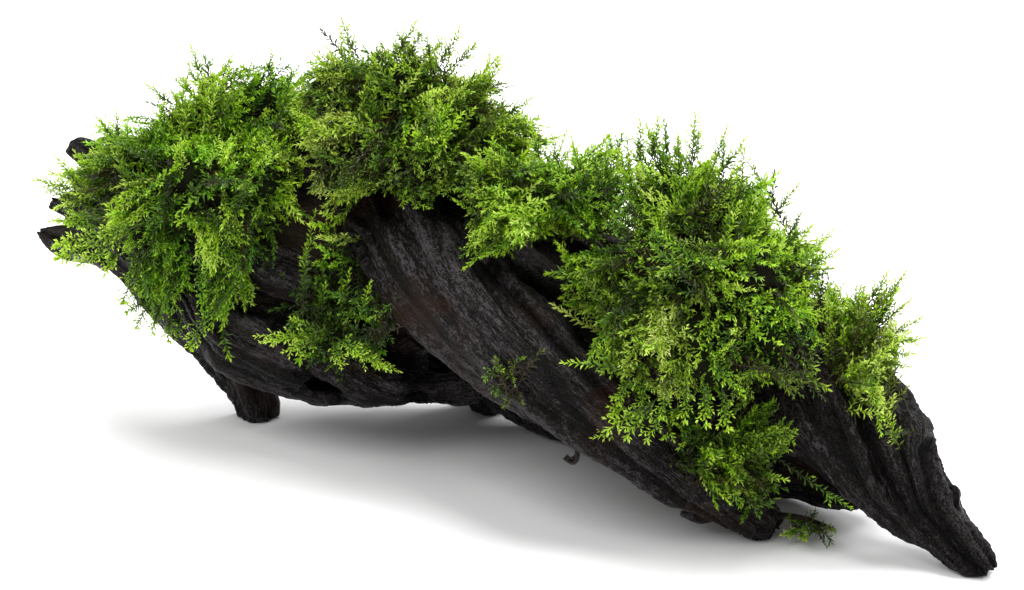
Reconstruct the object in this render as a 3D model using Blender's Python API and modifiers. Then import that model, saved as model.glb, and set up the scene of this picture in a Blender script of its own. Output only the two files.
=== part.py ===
"""Christmas moss growing on a piece of weathered driftwood.

The log lies along X on its own worn feet, with +Z up and the side that is seen most at -Y. The tables
below are in millimetres and MM turns them into metres. The wood is swept from furrowed strands that are
fused into one grown shape, cut flat where it stands, and parted at its two forks. Each tuft of moss is one
closed body that sits on the wood and reaches to the tips of its shoots.
"""

import math
import random
from typing import NamedTuple

import bmesh
import bpy
from mathutils import Matrix, Vector

MM = 0.001
OBJECT_NAME = "christmas_moss_on_driftwood"

# Driving dimensions, in millimetres unless a comment says otherwise
WOOD_CELL = 0.9  # size of the cells that fuse the strands
WOOD_TRIANGLES = 3200
WEATHERING = 1.0  # height of the lumps left by weather
WEATHERING_SIZE = 9
FURROWS = 7  # around one strand
FURROW_DEPTH = 0.11  # share of the strand's radius
KERF = 0.35  # width of the cut that parts a limb at its fork
MOSS_CELL = 1.0
FINE_CELL = 0.8  # cells of the last skin of a tuft
MOSS_LUMPS = 1.2
MOSS_LUMP_SIZE = 5
SHOOT_LENGTH = (3.0, 5.5)  # beyond the body of the tuft
SHOOT_ROOT = 2.4  # radius of a shoot where it leaves the tuft
SHOOT_TIP = 0.95
SHOOT_SPACING = 4.6  # least distance between two tips
GAP = 1.1  # clearance between tufts that meet
BARK_GAP = 1.2  # clearance between the wood and the body of a tuft
LEAST_GAP = 0.35  # kept wherever two pieces come close
SEED = 11


class Station(NamedTuple):
    """A point of a strand's centre line, with its radius and the turn of its furrows in degrees."""

    x: float
    y: float
    z: float
    radius: float
    turn: float = 0.0


class Ball(NamedTuple):
    """A round lump: its centre and radius."""

    x: float
    y: float
    z: float
    radius: float


class Hollow(NamedTuple):
    """An egg-shaped hollow: its centre, its three radii and its turn about Z in degrees."""

    centre: tuple
    radii: tuple
    turn: float


class Fork(NamedTuple):
    """Where a limb leaves the trunk: a point on its axis, its direction there and the reach of the cut."""

    centre: tuple
    direction: tuple
    reach: float


class Tuft(NamedTuple):
    """A clump of moss: the lobes of its body, the tips that its longest shoots reach, and its detail."""

    lobes: list
    tips: list
    shoots: int
    triangles: int
    colour: tuple


TRUNK = [
    Station(-91, 9, 39, 4, 0),
    Station(-86, 8.5, 38.5, 7.5, 8),
    Station(-76, 8, 37, 11, 25),
    Station(-60, 9, 37, 14.5, 45),
    Station(-42, 11, 38, 17, 65),
    Station(-22, 15, 36, 17, 90),
    Station(-4, 17, 30, 15, 110),
    Station(16, 15, 28, 14, 130),
    Station(36, 12, 27, 13.5, 150),
    Station(54, 8, 25, 11.5, 165),
]
REAR_WALL = [
    Station(-50, 19, 26, 8, 0),
    Station(-34, 24, 17, 8, 20),
    Station(-17, 27, 13, 7.5, 40),
    Station(-6, 26, 8.6, 7.5, 50),
    Station(5, 24, 7.2, 7.5, 60),
    Station(20, 20, 8.5, 7.5, 80),
    Station(36, 17, 7.4, 7, 95),
    Station(50, 13.5, 7.6, 6.2, 110),
    Station(62, 9, 10, 6.2, 125),
]
LEFT_BODY = [
    Station(-64, 5, 27, 6.5, 0),
    Station(-55, 2, 21, 8.5, 15),
    Station(-43, 1, 19, 9, 30),
    Station(-31, 4, 17.5, 8.3, 45),
    Station(-24, 11, 16.5, 7.5, 60),
]
LEFT_FOOT = [
    Station(-85, 7, 31.2, 4.4, 0),
    Station(-76, 6.5, 26.8, 5.4, 10),
    Station(-67.5, 6.5, 21.4, 5.8, 20),
    Station(-61.5, 7, 14.5, 5.2, 30),
    Station(-58.5, 9, 7, 4.2, 40),
    Station(-57.2, 10, 1, 3.6, 50),
    Station(-56.8, 10.4, -3, 3.6, 55),
]
REAR_FOOT = [
    Station(-24, 26, 16, 6, 0),
    Station(-21, 30.5, 8, 5.5, 20),
    Station(-19, 34, 0, 4.5, 40),
]
LOW_ARM = [
    Station(-44, -2, 22, 5, 0),
    Station(-33, -3, 19, 4.2, 25),
    Station(-25.5, 1, 14.5, 3.2, 45),
    Station(-20, 6, 12.8, 3.2, 60),
    Station(-14, 13, 13.5, 4.5, 80),
]
FRONT_ROOT = [
    Station(-35, 10, 48, 7.5, -20),
    Station(-22, 2, 43, 9.6, 0),
    Station(-8, -6, 37, 9.8, 20),
    Station(7, -12, 31, 8.9, 40),
    Station(20, -14, 25, 7.6, 55),
    Station(32, -12, 18, 6.6, 70),
    Station(40, -8, 11.5, 5.6, 85),
    Station(46.5, -3.5, 5.2, 4.2, 95),
    Station(50.5, -0.5, 1.2, 3, 100),
    Station(51.5, 0.5, -1.5, 2.2, 105),
]
RIGHT_LIMB = [
    Station(46, 10, 26, 11, 160),
    Station(56, 6, 24, 10.8, 180),
    Station(63, 4, 19.5, 9.5, 200),
    Station(69.5, 2.5, 14, 8, 220),
    Station(75, 1.5, 9.2, 6.2, 240),
    Station(81, 0.5, 5, 4.5, 260),
    Station(86.5, -0.5, 1.9, 3.2, 270),
    Station(88.5, -0.5, 0.6, 1.8, 280),
]
UPPER_PRONG = [Station(-86, 8, 38, 5), Station(-94, 8, 37.5, 3.2, 20), Station(-99.5, 8, 36.5, 1.2, 40)]
LOWER_PRONG = [Station(-84, 6, 31, 4.5), Station(-94, 6, 30.5, 2.6, 20), Station(-101.5, 6, 31.5, 0.8, 40)]
UNDER_PRONG = [Station(-86, 7, 29, 3), Station(-94, 7, 28.2, 1.7, 20), Station(-100, 7, 29, 0.9, 40)]
BROKEN_STUB = [Station(-84, 11, 42, 4), Station(-91, 10.5, 46, 2.6, 20), Station(-95.5, 10, 48.3, 1.9, 40)]
STRANDS = {
    "trunk": TRUNK,
    "rear_wall": REAR_WALL,
    "rear_foot": REAR_FOOT,
    "left_body": LEFT_BODY,
    "left_foot": LEFT_FOOT,
    "low_arm": LOW_ARM,
    "front_root": FRONT_ROOT,
    "right_limb": RIGHT_LIMB,
    "upper_prong": UPPER_PRONG,
    "lower_prong": LOWER_PRONG,
    "under_prong": UNDER_PRONG,
    "broken_stub": BROKEN_STUB,
}
KNOBS = [Ball(73.5, 2, 23, 3.4), Ball(79.3, 1, 12.2, 2.8), Ball(86.8, -1, 3.4, 2.4), Ball(-70, 4, 22, 5)]
HOLLOWS = [
    Hollow((-34.5, -5.5, 14.7), (3.5, 7, 2.2), 25),
    Hollow((-97.5, 6, 40.5), (5, 5, 3), 0),
]
FORKS = {
    "front_root": Fork((6, -11.6, 31.5), (0.9, -0.25, -0.4), 11),
    "right_limb": Fork((56, 8, 18), (0.96, -0.1, -0.28), 24),
}
ROOTLETS = {
    "hook": [
        Station(17.5, -13, 21, 0.45),
        Station(17.8, -12, 14.6, 0.4),
        Station(18, -12, 12.8, 0.4),
        Station(16.9, -12, 11.8, 0.4),
        Station(15.6, -12, 12.9, 0.6),
    ],
    "splinter": [Station(43, -4.5, 5, 0.8), Station(39.5, -6.8, 3.6, 0.5), Station(36, -9, 5, 0.7)],
    "twig": [
        Station(48, -1, 3.4, 0.9),
        Station(53.1, -2, 5, 0.7),
        Station(57.5, -2.6, 5, 0.6),
        Station(61.6, -3, 4.2, 0.5),
    ],
}

LIME = (0.30, 0.47, 0.02)
LEAF = (0.17, 0.34, 0.02)
OLIVE = (0.11, 0.16, 0.02)
TUFTS = {
    "moss_front_spray": Tuft(
        lobes=[Ball(-37, -10, 25, 4), Ball(-27, -10, 26, 4), Ball(-33, -6, 32, 5), Ball(-41, -6, 33, 3)],
        tips=[(-15, -14, 24), (-42, -14, 27), (-31, -14, 51), (-21, -13, 36), (-27, -13, 38)],
        shoots=14,
        triangles=330,
        colour=LIME,
    ),
    "moss_left_mound": Tuft(
        lobes=[
            Ball(-83, 2, 44, 6),
            Ball(-73, 0, 50, 7),
            Ball(-63, 2, 57, 7.5),
            Ball(-52, 4, 62, 7),
            Ball(-69, -6, 40, 8),
            Ball(-57, -7, 50, 8.5),
            Ball(-66, -3, 28, 5.5),
            Ball(-50, -7, 40, 8),
            Ball(-45, -7, 53, 8),
            Ball(-55, -4, 28, 5.5),
            Ball(-73, 9, 48, 6.5),
            Ball(-60, 11, 54, 7.5),
            Ball(-48, 12, 57, 7.5),
        ],
        tips=[
            (-97, 2, 43),
            (-95, 3, 46),
            (-92, -4, 37),
            (-85, 4, 56),
            (-79.5, 4, 58.5),
            (-74, 5, 63),
            (-66, 6, 71),
            (-60, 6, 69),
            (-50, 6, 73.5),
            (-41, 5, 73),
            (-75, -4, 22.5),
            (-70, -5, 21),
            (-60.5, -6, 20.5),
            (-54, -5, 18),
        ],
        shoots=60,
        triangles=850,
        colour=LEAF,
    ),
    "moss_crown": Tuft(
        lobes=[
            Ball(-37, 3, 67, 7),
            Ball(-22, 2, 69, 7.5),
            Ball(-10, 3, 66, 6.5),
            Ball(-29, -6, 58, 8.5),
            Ball(-14, -6, 59, 7),
            Ball(-32, 13, 61, 7.5),
            Ball(-18, 13, 61, 7.5),
            Ball(-7, 12, 57, 7),
        ],
        tips=[
            (-34, 4, 80),
            (-27, 4, 80),
            (-21, 4, 81.6),
            (-12.6, 3, 81.4),
            (-3, 2, 77.5),
            (3, 1, 72),
            (2, 0, 66),
        ],
        shoots=45,
        triangles=680,
        colour=OLIVE,
    ),
    "moss_saddle": Tuft(
        lobes=[
            Ball(-4, -4, 57, 6),
            Ball(8, -3, 56, 6),
            Ball(1, -7, 50, 5),
            Ball(17, -1, 56, 6),
            Ball(9, 9, 50, 6.5),
        ],
        tips=[(10, 4, 65), (15, 4, 67.5), (18.5, 4, 69.5), (4.5, 2, 66)],
        shoots=22,
        triangles=330,
        colour=LEAF,
    ),
    "moss_right_mound": Tuft(
        lobes=[
            Ball(25, 3, 57, 7),
            Ball(38, 3, 55, 7),
            Ball(32, -8, 49, 8.5),
            Ball(46, -7, 48, 8.5),
            Ball(18, -7, 42, 6),
            Ball(42, -13, 37, 9),
            Ball(54, -9, 38, 8),
            Ball(29, -13, 35, 6),
            Ball(50, 4, 45, 7),
            Ball(24, 12, 51, 7.5),
            Ball(37, 11, 49, 7.5),
            Ball(49, 10, 42, 6),
        ],
        tips=[
            (22, 4, 69),
            (25, 4, 70.3),
            (31.4, 3, 72),
            (35.5, 3, 69.5),
            (42, 2, 69),
            (50, 1, 63.6),
            (50, 5, 57),
            (54, 4, 52),
            (25, -21, 21),
            (19, -18.5, 33),
        ],
        shoots=60,
        triangles=900,
        colour=LIME,
    ),
    "moss_lower_tuft": Tuft(
        lobes=[Ball(44, -12, 20, 4.5), Ball(48, -10, 13, 4), Ball(51, -8, 23, 4.5)],
        tips=[(54, -12, 8), (42, -15, 9)],
        shoots=14,
        triangles=250,
        colour=LEAF,
    ),
    "moss_limb_tuft": Tuft(
        lobes=[Ball(61, 2, 40, 5), Ball(65.5, 1, 36.5, 4), Ball(63, 4, 33, 4)],
        tips=[(71, 1, 50.5), (73, 0, 43), (74.5, -2, 40), (62, 3, 47), (58, 3, 51), (72, -10, 27)],
        shoots=12,
        triangles=330,
        colour=LIME,
    ),
    "moss_rear_left": Tuft(
        lobes=[Ball(-84, 16, 41, 6), Ball(-71, 17.5, 46, 7.5), Ball(-57, 20, 51, 8), Ball(-64, 23, 42, 6)],
        tips=[(-92, 22, 49)],
        shoots=22,
        triangles=330,
        colour=LEAF,
    ),
    "moss_rear_crown": Tuft(
        lobes=[
            Ball(-41, 22, 53, 8),
            Ball(-30, 25, 51, 7.5),
            Ball(-20, 24, 52, 8),
            Ball(-8, 23, 47, 7.5),
            Ball(5, 20, 45, 7),
            Ball(-26, 31, 42, 5.5),
        ],
        tips=[(-28, 34, 66)],
        shoots=24,
        triangles=330,
        colour=OLIVE,
    ),
    "moss_rear_right": Tuft(
        lobes=[Ball(19, 22, 43, 7.5), Ball(30, 21, 42, 7.5), Ball(40, 18, 39, 7), Ball(50, 14, 35, 5.5)],
        tips=[(30, 32, 56)],
        shoots=16,
        triangles=330,
        colour=LEAF,
    ),
    "moss_root_sprig": Tuft(
        lobes=[Ball(8.5, -23.2, 27, 2.2), Ball(7, -23, 30, 1.8), Ball(11, -23.4, 30, 1.8)],
        tips=[(5, -22.4, 34.5), (14, -22.6, 34.5)],
        shoots=0,
        triangles=110,
        colour=OLIVE,
    ),
    "moss_twig_fringe": Tuft(
        lobes=[Ball(54, -2, 2.5, 1.2), Ball(56.7, -2.4, 2.2, 1.4), Ball(59.6, -2.7, 2.1, 1.2)],
        tips=[(62.5, -3.4, 1.6), (52.5, -4.8, 1.6)],
        shoots=0,
        triangles=90,
        colour=LIME,
    ),
}


def clear_scene():
    """Remove every object that the file opened with."""
    for item in list(bpy.data.objects):
        bpy.data.objects.remove(item, do_unlink=True)


def new_group(name):
    """Return a new collection of that name, linked to the scene."""
    group = bpy.data.collections.new(name)
    bpy.context.scene.collection.children.link(group)
    return group


def in_metres(place):
    """Return a point or station in millimetres as a vector in metres."""
    return Vector(place[:3]) * MM


def finish(name, colour, roughness):
    """Return a plain material with that colour and roughness."""
    material = bpy.data.materials.new(name)
    material.use_nodes = True
    shader = material.node_tree.nodes["Principled BSDF"]
    shader.inputs["Base Color"].default_value = (*colour, 1)
    shader.inputs["Roughness"].default_value = roughness
    shader.inputs["Metallic"].default_value = 0
    return material


def object_from(work, name, group):
    """Return a new object of that bmesh, which is freed."""
    mesh = bpy.data.meshes.new(name)
    work.to_mesh(mesh)
    work.free()
    item = bpy.data.objects.new(name, mesh)
    group.objects.link(item)
    return item


def copied(item, name, group):
    """Return a copy of the object with its own mesh."""
    twin = bpy.data.objects.new(name, item.data.copy())
    group.objects.link(twin)
    return twin


def drop(item):
    """Remove an object that was only needed to shape others."""
    bpy.data.objects.remove(item, do_unlink=True)


def smooth_run(stations, per_span=5):
    """Return stations along a Catmull-Rom curve that passes through the given ones."""
    run = []
    last = len(stations) - 1
    for index in range(last):
        before = stations[max(index - 1, 0)]
        start = stations[index]
        end = stations[index + 1]
        after = stations[min(index + 2, last)]
        for step in range(per_span):
            t = step / per_span
            values = []
            for p0, p1, p2, p3 in zip(before, start, end, after):
                bend = 2 * p0 - 5 * p1 + 4 * p2 - p3
                twist = 3 * p1 - p0 - 3 * p2 + p3
                values.append(0.5 * (2 * p1 + (p2 - p0) * t + bend * t * t + twist * t ** 3))
            run.append(Station(*values))
    run.append(stations[last])
    return run


def furrowed_profile(name, phase, points=42):
    """Return a closed 2D curve of 1 mm radius with uneven furrows around it."""
    curve = bpy.data.curves.new(name, "CURVE")
    curve.dimensions = "2D"
    spline = curve.splines.new("POLY")
    spline.points.add(points - 1)
    spline.use_cyclic_u = True
    for index, point in enumerate(spline.points):
        angle = 2 * math.pi * index / points
        wave = math.cos(FURROWS * angle + phase) + 0.5 * math.cos(3 * angle - 2 * phase)
        radius = MM * (1 + FURROW_DEPTH * wave)
        point.co = (radius * math.cos(angle), radius * math.sin(angle), 0, 1)
    return curve


def curve_along(name, stations):
    """Return a 3D curve with filled caps through the stations, its radii in millimetres."""
    curve = bpy.data.curves.new(name, "CURVE")
    curve.dimensions = "3D"
    curve.use_fill_caps = True
    curve.twist_mode = "MINIMUM"
    run = smooth_run(stations)
    spline = curve.splines.new("POLY")
    spline.points.add(len(run) - 1)
    for point, station in zip(spline.points, run):
        point.co = (*in_metres(station), 1)
        point.radius = station.radius
        point.tilt = math.radians(station.turn)
    return curve


def mesh_of_curve(curve, name, group):
    """Return the curve as a closed mesh object; the curve is removed."""
    path = bpy.data.objects.new(name + "_path", curve)
    group.objects.link(path)
    graph = bpy.context.evaluated_depsgraph_get()
    mesh = bpy.data.meshes.new_from_object(path.evaluated_get(graph))
    work = bmesh.new()
    work.from_mesh(mesh)
    bmesh.ops.remove_doubles(work, verts=work.verts, dist=0.00001)
    bmesh.ops.recalc_face_normals(work, faces=work.faces)
    work.to_mesh(mesh)
    work.free()
    item = bpy.data.objects.new(name, mesh)
    item.matrix_world = path.matrix_world
    group.objects.link(item)
    drop(path)
    return item


def strand(name, stations, phase, group):
    """Return a strand of wood: a furrowed section swept along the stations."""
    profile = bpy.data.objects.new(name + "_profile", furrowed_profile(name + "_profile", phase))
    group.objects.link(profile)
    curve = curve_along(name, stations)
    curve.bevel_mode = "OBJECT"
    curve.bevel_object = profile
    swept = mesh_of_curve(curve, name, group)
    drop(profile)
    return swept


def rootlet(name, stations, group):
    """Return a thin round shoot of wood along the stations."""
    curve = curve_along(name, stations)
    curve.bevel_depth = MM
    curve.bevel_resolution = 1
    return mesh_of_curve(curve, name, group)


def ball(name, place, group, detail=3):
    """Return a round lump."""
    work = bmesh.new()
    stand = Matrix.Translation(in_metres(place))
    bmesh.ops.create_icosphere(work, subdivisions=detail, radius=place.radius * MM, matrix=stand)
    return object_from(work, name, group)


def baked(item):
    """Turn the object's modifiers into mesh and return the object."""
    graph = bpy.context.evaluated_depsgraph_get()
    mesh = bpy.data.meshes.new_from_object(item.evaluated_get(graph))
    item.modifiers.clear()
    old = item.data
    item.data = mesh
    bpy.data.meshes.remove(old)
    return item


def joined(name, items, group):
    """Put the meshes of several objects in one new object and remove the objects."""
    work = bmesh.new()
    for item in items:
        work.from_mesh(item.data)
        drop(item)
    return object_from(work, name, group)


def islands_of(work):
    """Return the connected parts of a bmesh as sets of its points, biggest first."""
    unseen = set(work.verts)
    islands = []
    while unseen:
        start = unseen.pop()
        island = {start}
        front = [start]
        while front:
            for edge in front.pop().link_edges:
                for vert in edge.verts:
                    if vert in unseen:
                        unseen.remove(vert)
                        island.add(vert)
                        front.append(vert)
        islands.append(island)
    return sorted(islands, key=len, reverse=True)


def only_island(item, place=None):
    """Keep one connected part: the one nearest the place, or else the biggest."""
    work = bmesh.new()
    work.from_mesh(item.data)
    islands = islands_of(work)
    kept = islands[0]
    if place is not None:
        target = in_metres(place)
        kept = min(islands, key=lambda island: min((vert.co - target).length for vert in island))
    spare = [vert for vert in work.verts if vert not in kept]
    bmesh.ops.delete(work, geom=spare, context="VERTS")
    work.to_mesh(item.data)
    work.free()
    return item


def fused(item, cell):
    """Grow overlapping shells together into one skin."""
    remesh = item.modifiers.new("fuse", "REMESH")
    remesh.mode = "VOXEL"
    remesh.voxel_size = cell * MM
    return only_island(baked(item))


def lumpy(item, height, size):
    """Raise and sink the surface by soft lumps of that height and size."""
    texture = bpy.data.textures.new(item.name + "_lumps", "CLOUDS")
    texture.noise_scale = size * MM
    texture.noise_depth = 2
    lumps = item.modifiers.new("lumps", "DISPLACE")
    lumps.texture = texture
    lumps.texture_coords = "LOCAL"
    lumps.strength = 2 * height * MM
    lumps.mid_level = 0.5
    return baked(item)


def swollen(item, growth):
    """Grow the surface outwards by that many millimetres."""
    swell = item.modifiers.new("swell", "DISPLACE")
    swell.strength = growth * MM
    swell.mid_level = 0
    return baked(item)


def thinned(item, triangles):
    """Reduce the mesh to about that many triangles."""
    item.data.calc_loop_triangles()
    thin = item.modifiers.new("thin", "DECIMATE")
    thin.ratio = min(1.0, triangles / len(item.data.loop_triangles))
    return baked(item)


def combined(item, other, operation, solver="EXACT"):
    """Cut, join or intersect the object with another closed object."""
    boolean = item.modifiers.new("combine", "BOOLEAN")
    boolean.operation = operation
    boolean.object = other
    boolean.solver = solver
    return baked(item)


def without(item, tool, solver="EXACT"):
    """Cut the tool's shape out of the object and remove the tool."""
    combined(item, tool, "DIFFERENCE", solver)
    drop(tool)
    return item


def block(name, size, place, group):
    """Return a box of that size in millimetres, placed by a matrix."""
    work = bmesh.new()
    bmesh.ops.create_cube(work, size=1, matrix=place @ Matrix.Diagonal((*(Vector(size) * MM), 1)))
    return object_from(work, name, group)


def grown_wood(group):
    """Return the whole piece of wood, fused, weathered, hollowed and cut flat where it stands."""
    lumps = [strand(name, run, 1.3 * turn, group) for turn, (name, run) in enumerate(STRANDS.items())]
    lumps += [ball("knob", knob, group) for knob in KNOBS]
    wood = joined("wood", lumps, group)
    fused(wood, WOOD_CELL)
    lumpy(wood, WEATHERING, WEATHERING_SIZE)
    thinned(wood, WOOD_TRIANGLES)
    for hollow in HOLLOWS:
        turn = Matrix.Rotation(math.radians(hollow.turn), 4, "Z")
        shape = Matrix.Translation(in_metres(hollow.centre)) @ turn @ Matrix.Diagonal((*hollow.radii, 1))
        work = bmesh.new()
        bmesh.ops.create_icosphere(work, subdivisions=2, radius=MM, matrix=shape)
        without(wood, object_from(work, "hollow", group))
    depth = 60
    ground = block("ground", (300, 200, depth), Matrix.Translation((0, 0, -depth * MM / 2)), group)
    return only_island(without(wood, ground))


def parted(wood, group):
    """Saw the limbs off at their forks and return every piece of wood by name."""
    for fork in FORKS.values():
        turn = Vector(fork.direction).to_track_quat("Z", "Y").to_matrix().to_4x4()
        place = Matrix.Translation(in_metres(fork.centre)) @ turn
        without(wood, block("saw", (2 * fork.reach, 2 * fork.reach, KERF), place, group))
    pieces = {"trunk": only_island(copied(wood, "trunk", group), TRUNK[4])}
    for name in FORKS:
        limb_end = STRANDS[name][-2]
        pieces[name] = only_island(copied(wood, name, group), limb_end)
    drop(wood)
    for name, stations in ROOTLETS.items():
        shoot = rootlet(name, stations, group)
        combined(pieces["front_root"], shoot, "UNION")
        drop(shoot)
    only_island(pieces["front_root"])
    return pieces


def jacket_of(item, clearance, group):
    """Return a closed skin that clears the object by that many millimetres all round."""
    return fused(swollen(copied(item, "jacket", group), clearance), MOSS_CELL)


def near_each_other(item, other):
    """Say whether the boxes of two objects meet."""
    lows = []
    highs = []
    for each in (item, other):
        corners = [vert.co for vert in each.data.vertices]
        lows.append([min(co[axis] for co in corners) for axis in range(3)])
        highs.append([max(co[axis] for co in corners) for axis in range(3)])
    reach = GAP * MM
    return all(lows[0][i] < highs[1][i] + reach and lows[1][i] < highs[0][i] + reach for i in range(3))


def shoot_between(name, start, tip, group):
    """Return a leafy shoot's outer form: a slim cone from its root to its blunt tip."""
    axis = tip - start
    root_radius = min(SHOOT_ROOT, 0.45 * axis.length)
    turn = axis.to_track_quat("Z", "Y").to_matrix().to_4x4()
    place = Matrix.Translation((start + tip) / 2 * MM) @ turn
    work = bmesh.new()
    bmesh.ops.create_cone(
        work,
        cap_ends=True,
        segments=8,
        radius1=root_radius * MM,
        radius2=SHOOT_TIP * MM,
        depth=axis.length * MM,
        matrix=place,
    )
    return object_from(work, name, group)


def bare_of_moss(point, lobes, margin):
    """Say whether the point is at least the margin outside all of the lobes."""
    return all((point - Vector(lobe[:3])).length > lobe.radius + margin for lobe in lobes)


def shoots_of(tuft, every_lobe, draw):
    """Return the root and the tip of every shoot of a tuft, in millimetres."""
    shoots = []
    for tip in tuft.tips:
        tip = Vector(tip)
        lobe = min(tuft.lobes, key=lambda each: (tip - Vector(each[:3])).length - each.radius)
        centre = Vector(lobe[:3])
        shoots.append((centre.lerp(tip, 0.3 * lobe.radius / (tip - centre).length), tip))
    tries = 0
    while len(shoots) < len(tuft.tips) + tuft.shoots and tries < 4000:
        tries += 1
        lobe = draw.choice(tuft.lobes)
        out = Vector((draw.gauss(0, 1), draw.gauss(0, 1), draw.gauss(0.3, 1))).normalized()
        length = draw.uniform(*SHOOT_LENGTH)
        centre = Vector(lobe[:3])
        tip = centre + out * (lobe.radius + length)
        crowded = any((tip - other).length < SHOOT_SPACING for _, other in shoots)
        if crowded or not bare_of_moss(tip, every_lobe, 0.6 * length):
            continue
        shoots.append((centre + out * (lobe.radius - 2.5), tip))
    return shoots


def grown_moss(wood, group):
    """Return every tuft by name, each clear of the wood and of the tufts before it."""
    bark = jacket_of(wood, BARK_GAP, group)
    close_bark = swollen(copied(wood, "close_bark", group), LEAST_GAP)
    every_lobe = [lobe for tuft in TUFTS.values() for lobe in tuft.lobes]
    draw = random.Random(SEED)
    grown = {}
    for name, tuft in TUFTS.items():
        lumps = [ball("lobe", lobe, group) for lobe in tuft.lobes]
        for root, tip in shoots_of(tuft, every_lobe, draw):
            lumps.append(shoot_between("shoot", root, tip, group))
        moss = joined(name, lumps, group)
        fused(moss, MOSS_CELL)
        lumpy(moss, MOSS_LUMPS, MOSS_LUMP_SIZE)
        combined(moss, bark, "DIFFERENCE", "MANIFOLD")
        for neighbour in grown.values():
            if near_each_other(moss, neighbour):
                without(moss, jacket_of(neighbour, GAP, group), "MANIFOLD")
        fused(moss, FINE_CELL)
        thinned(moss, tuft.triangles)
        combined(moss, close_bark, "DIFFERENCE", "MANIFOLD")
        grown[name] = only_island(moss)
    drop(bark)
    drop(close_bark)
    return grown


def centred(pieces):
    """Move all pieces alike, so that the middle of the whole stands over the origin."""
    corners = [vert.co for piece in pieces for vert in piece.data.vertices]
    middle_x = (min(co.x for co in corners) + max(co.x for co in corners)) / 2
    middle_y = (min(co.y for co in corners) + max(co.y for co in corners)) / 2
    lowest = min(co.z for co in corners)
    for piece in pieces:
        piece.data.transform(Matrix.Translation((-middle_x, -middle_y, -lowest)))


def main():
    """Build the wood and its moss."""
    clear_scene()
    workshop = new_group("workshop")
    finished = new_group(OBJECT_NAME)
    wood = grown_wood(workshop)
    moss = grown_moss(wood, workshop)
    pieces = parted(wood, workshop)
    bark_finish = finish("wet_driftwood", (0.028, 0.022, 0.019), 0.42)
    for piece in pieces.values():
        piece.data.materials.clear()
        piece.data.materials.append(bark_finish)
        piece.data.shade_flat()
    for name, tuft in moss.items():
        tuft.data.materials.clear()
        tuft.data.materials.append(finish(name, TUFTS[name].colour, 0.7))
        tuft.data.shade_flat()
    pieces.update(moss)
    centred(list(pieces.values()))
    for piece in pieces.values():
        workshop.objects.unlink(piece)
        finished.objects.link(piece)
    bpy.data.collections.remove(workshop)


if __name__ == "__main__":
    main()
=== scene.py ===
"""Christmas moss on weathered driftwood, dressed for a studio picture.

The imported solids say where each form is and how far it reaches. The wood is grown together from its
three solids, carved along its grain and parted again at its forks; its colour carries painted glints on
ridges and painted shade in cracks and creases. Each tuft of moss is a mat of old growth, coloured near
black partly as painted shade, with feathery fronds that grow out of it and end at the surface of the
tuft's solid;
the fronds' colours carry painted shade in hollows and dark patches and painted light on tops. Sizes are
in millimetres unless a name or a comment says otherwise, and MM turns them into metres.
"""

import itertools
import logging
import math
from dataclasses import dataclass, field
from enum import Enum
from typing import NamedTuple

import bpy
import numpy as np
from mathutils import Matrix, Vector
from mathutils.bvhtree import BVHTree
from mathutils.kdtree import KDTree


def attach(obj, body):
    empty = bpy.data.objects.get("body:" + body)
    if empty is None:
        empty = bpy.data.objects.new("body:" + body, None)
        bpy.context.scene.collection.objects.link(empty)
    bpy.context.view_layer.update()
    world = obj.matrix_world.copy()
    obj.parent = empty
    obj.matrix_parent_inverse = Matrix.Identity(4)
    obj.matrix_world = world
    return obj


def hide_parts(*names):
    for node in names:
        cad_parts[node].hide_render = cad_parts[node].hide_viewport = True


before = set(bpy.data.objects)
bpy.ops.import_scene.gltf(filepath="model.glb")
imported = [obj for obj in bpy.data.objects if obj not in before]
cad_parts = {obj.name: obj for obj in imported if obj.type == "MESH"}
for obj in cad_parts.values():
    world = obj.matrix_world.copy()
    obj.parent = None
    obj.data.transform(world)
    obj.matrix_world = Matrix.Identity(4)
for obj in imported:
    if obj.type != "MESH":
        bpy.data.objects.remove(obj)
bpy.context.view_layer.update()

MM = 0.001
CENTRING = Vector((5.687, -6.876, 0.0))  # from the wood tables' own origin to the middle of the piece
LOG = logging.getLogger("moss_on_driftwood")

Colour = tuple[float, float, float]
Socket = bpy.types.NodeSocket


class Station(NamedTuple):
    """A point on a strand's centre line, with its radius and the turn of its grain in degrees."""

    x: float
    y: float
    z: float
    radius: float
    turn: float = 0.0


def strand(*rows: tuple) -> list[Station]:
    """Give the centre line of one strand from rows of x, y, z, radius and, where it isn't 0, turn."""
    return [Station(*row) for row in rows]


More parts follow.
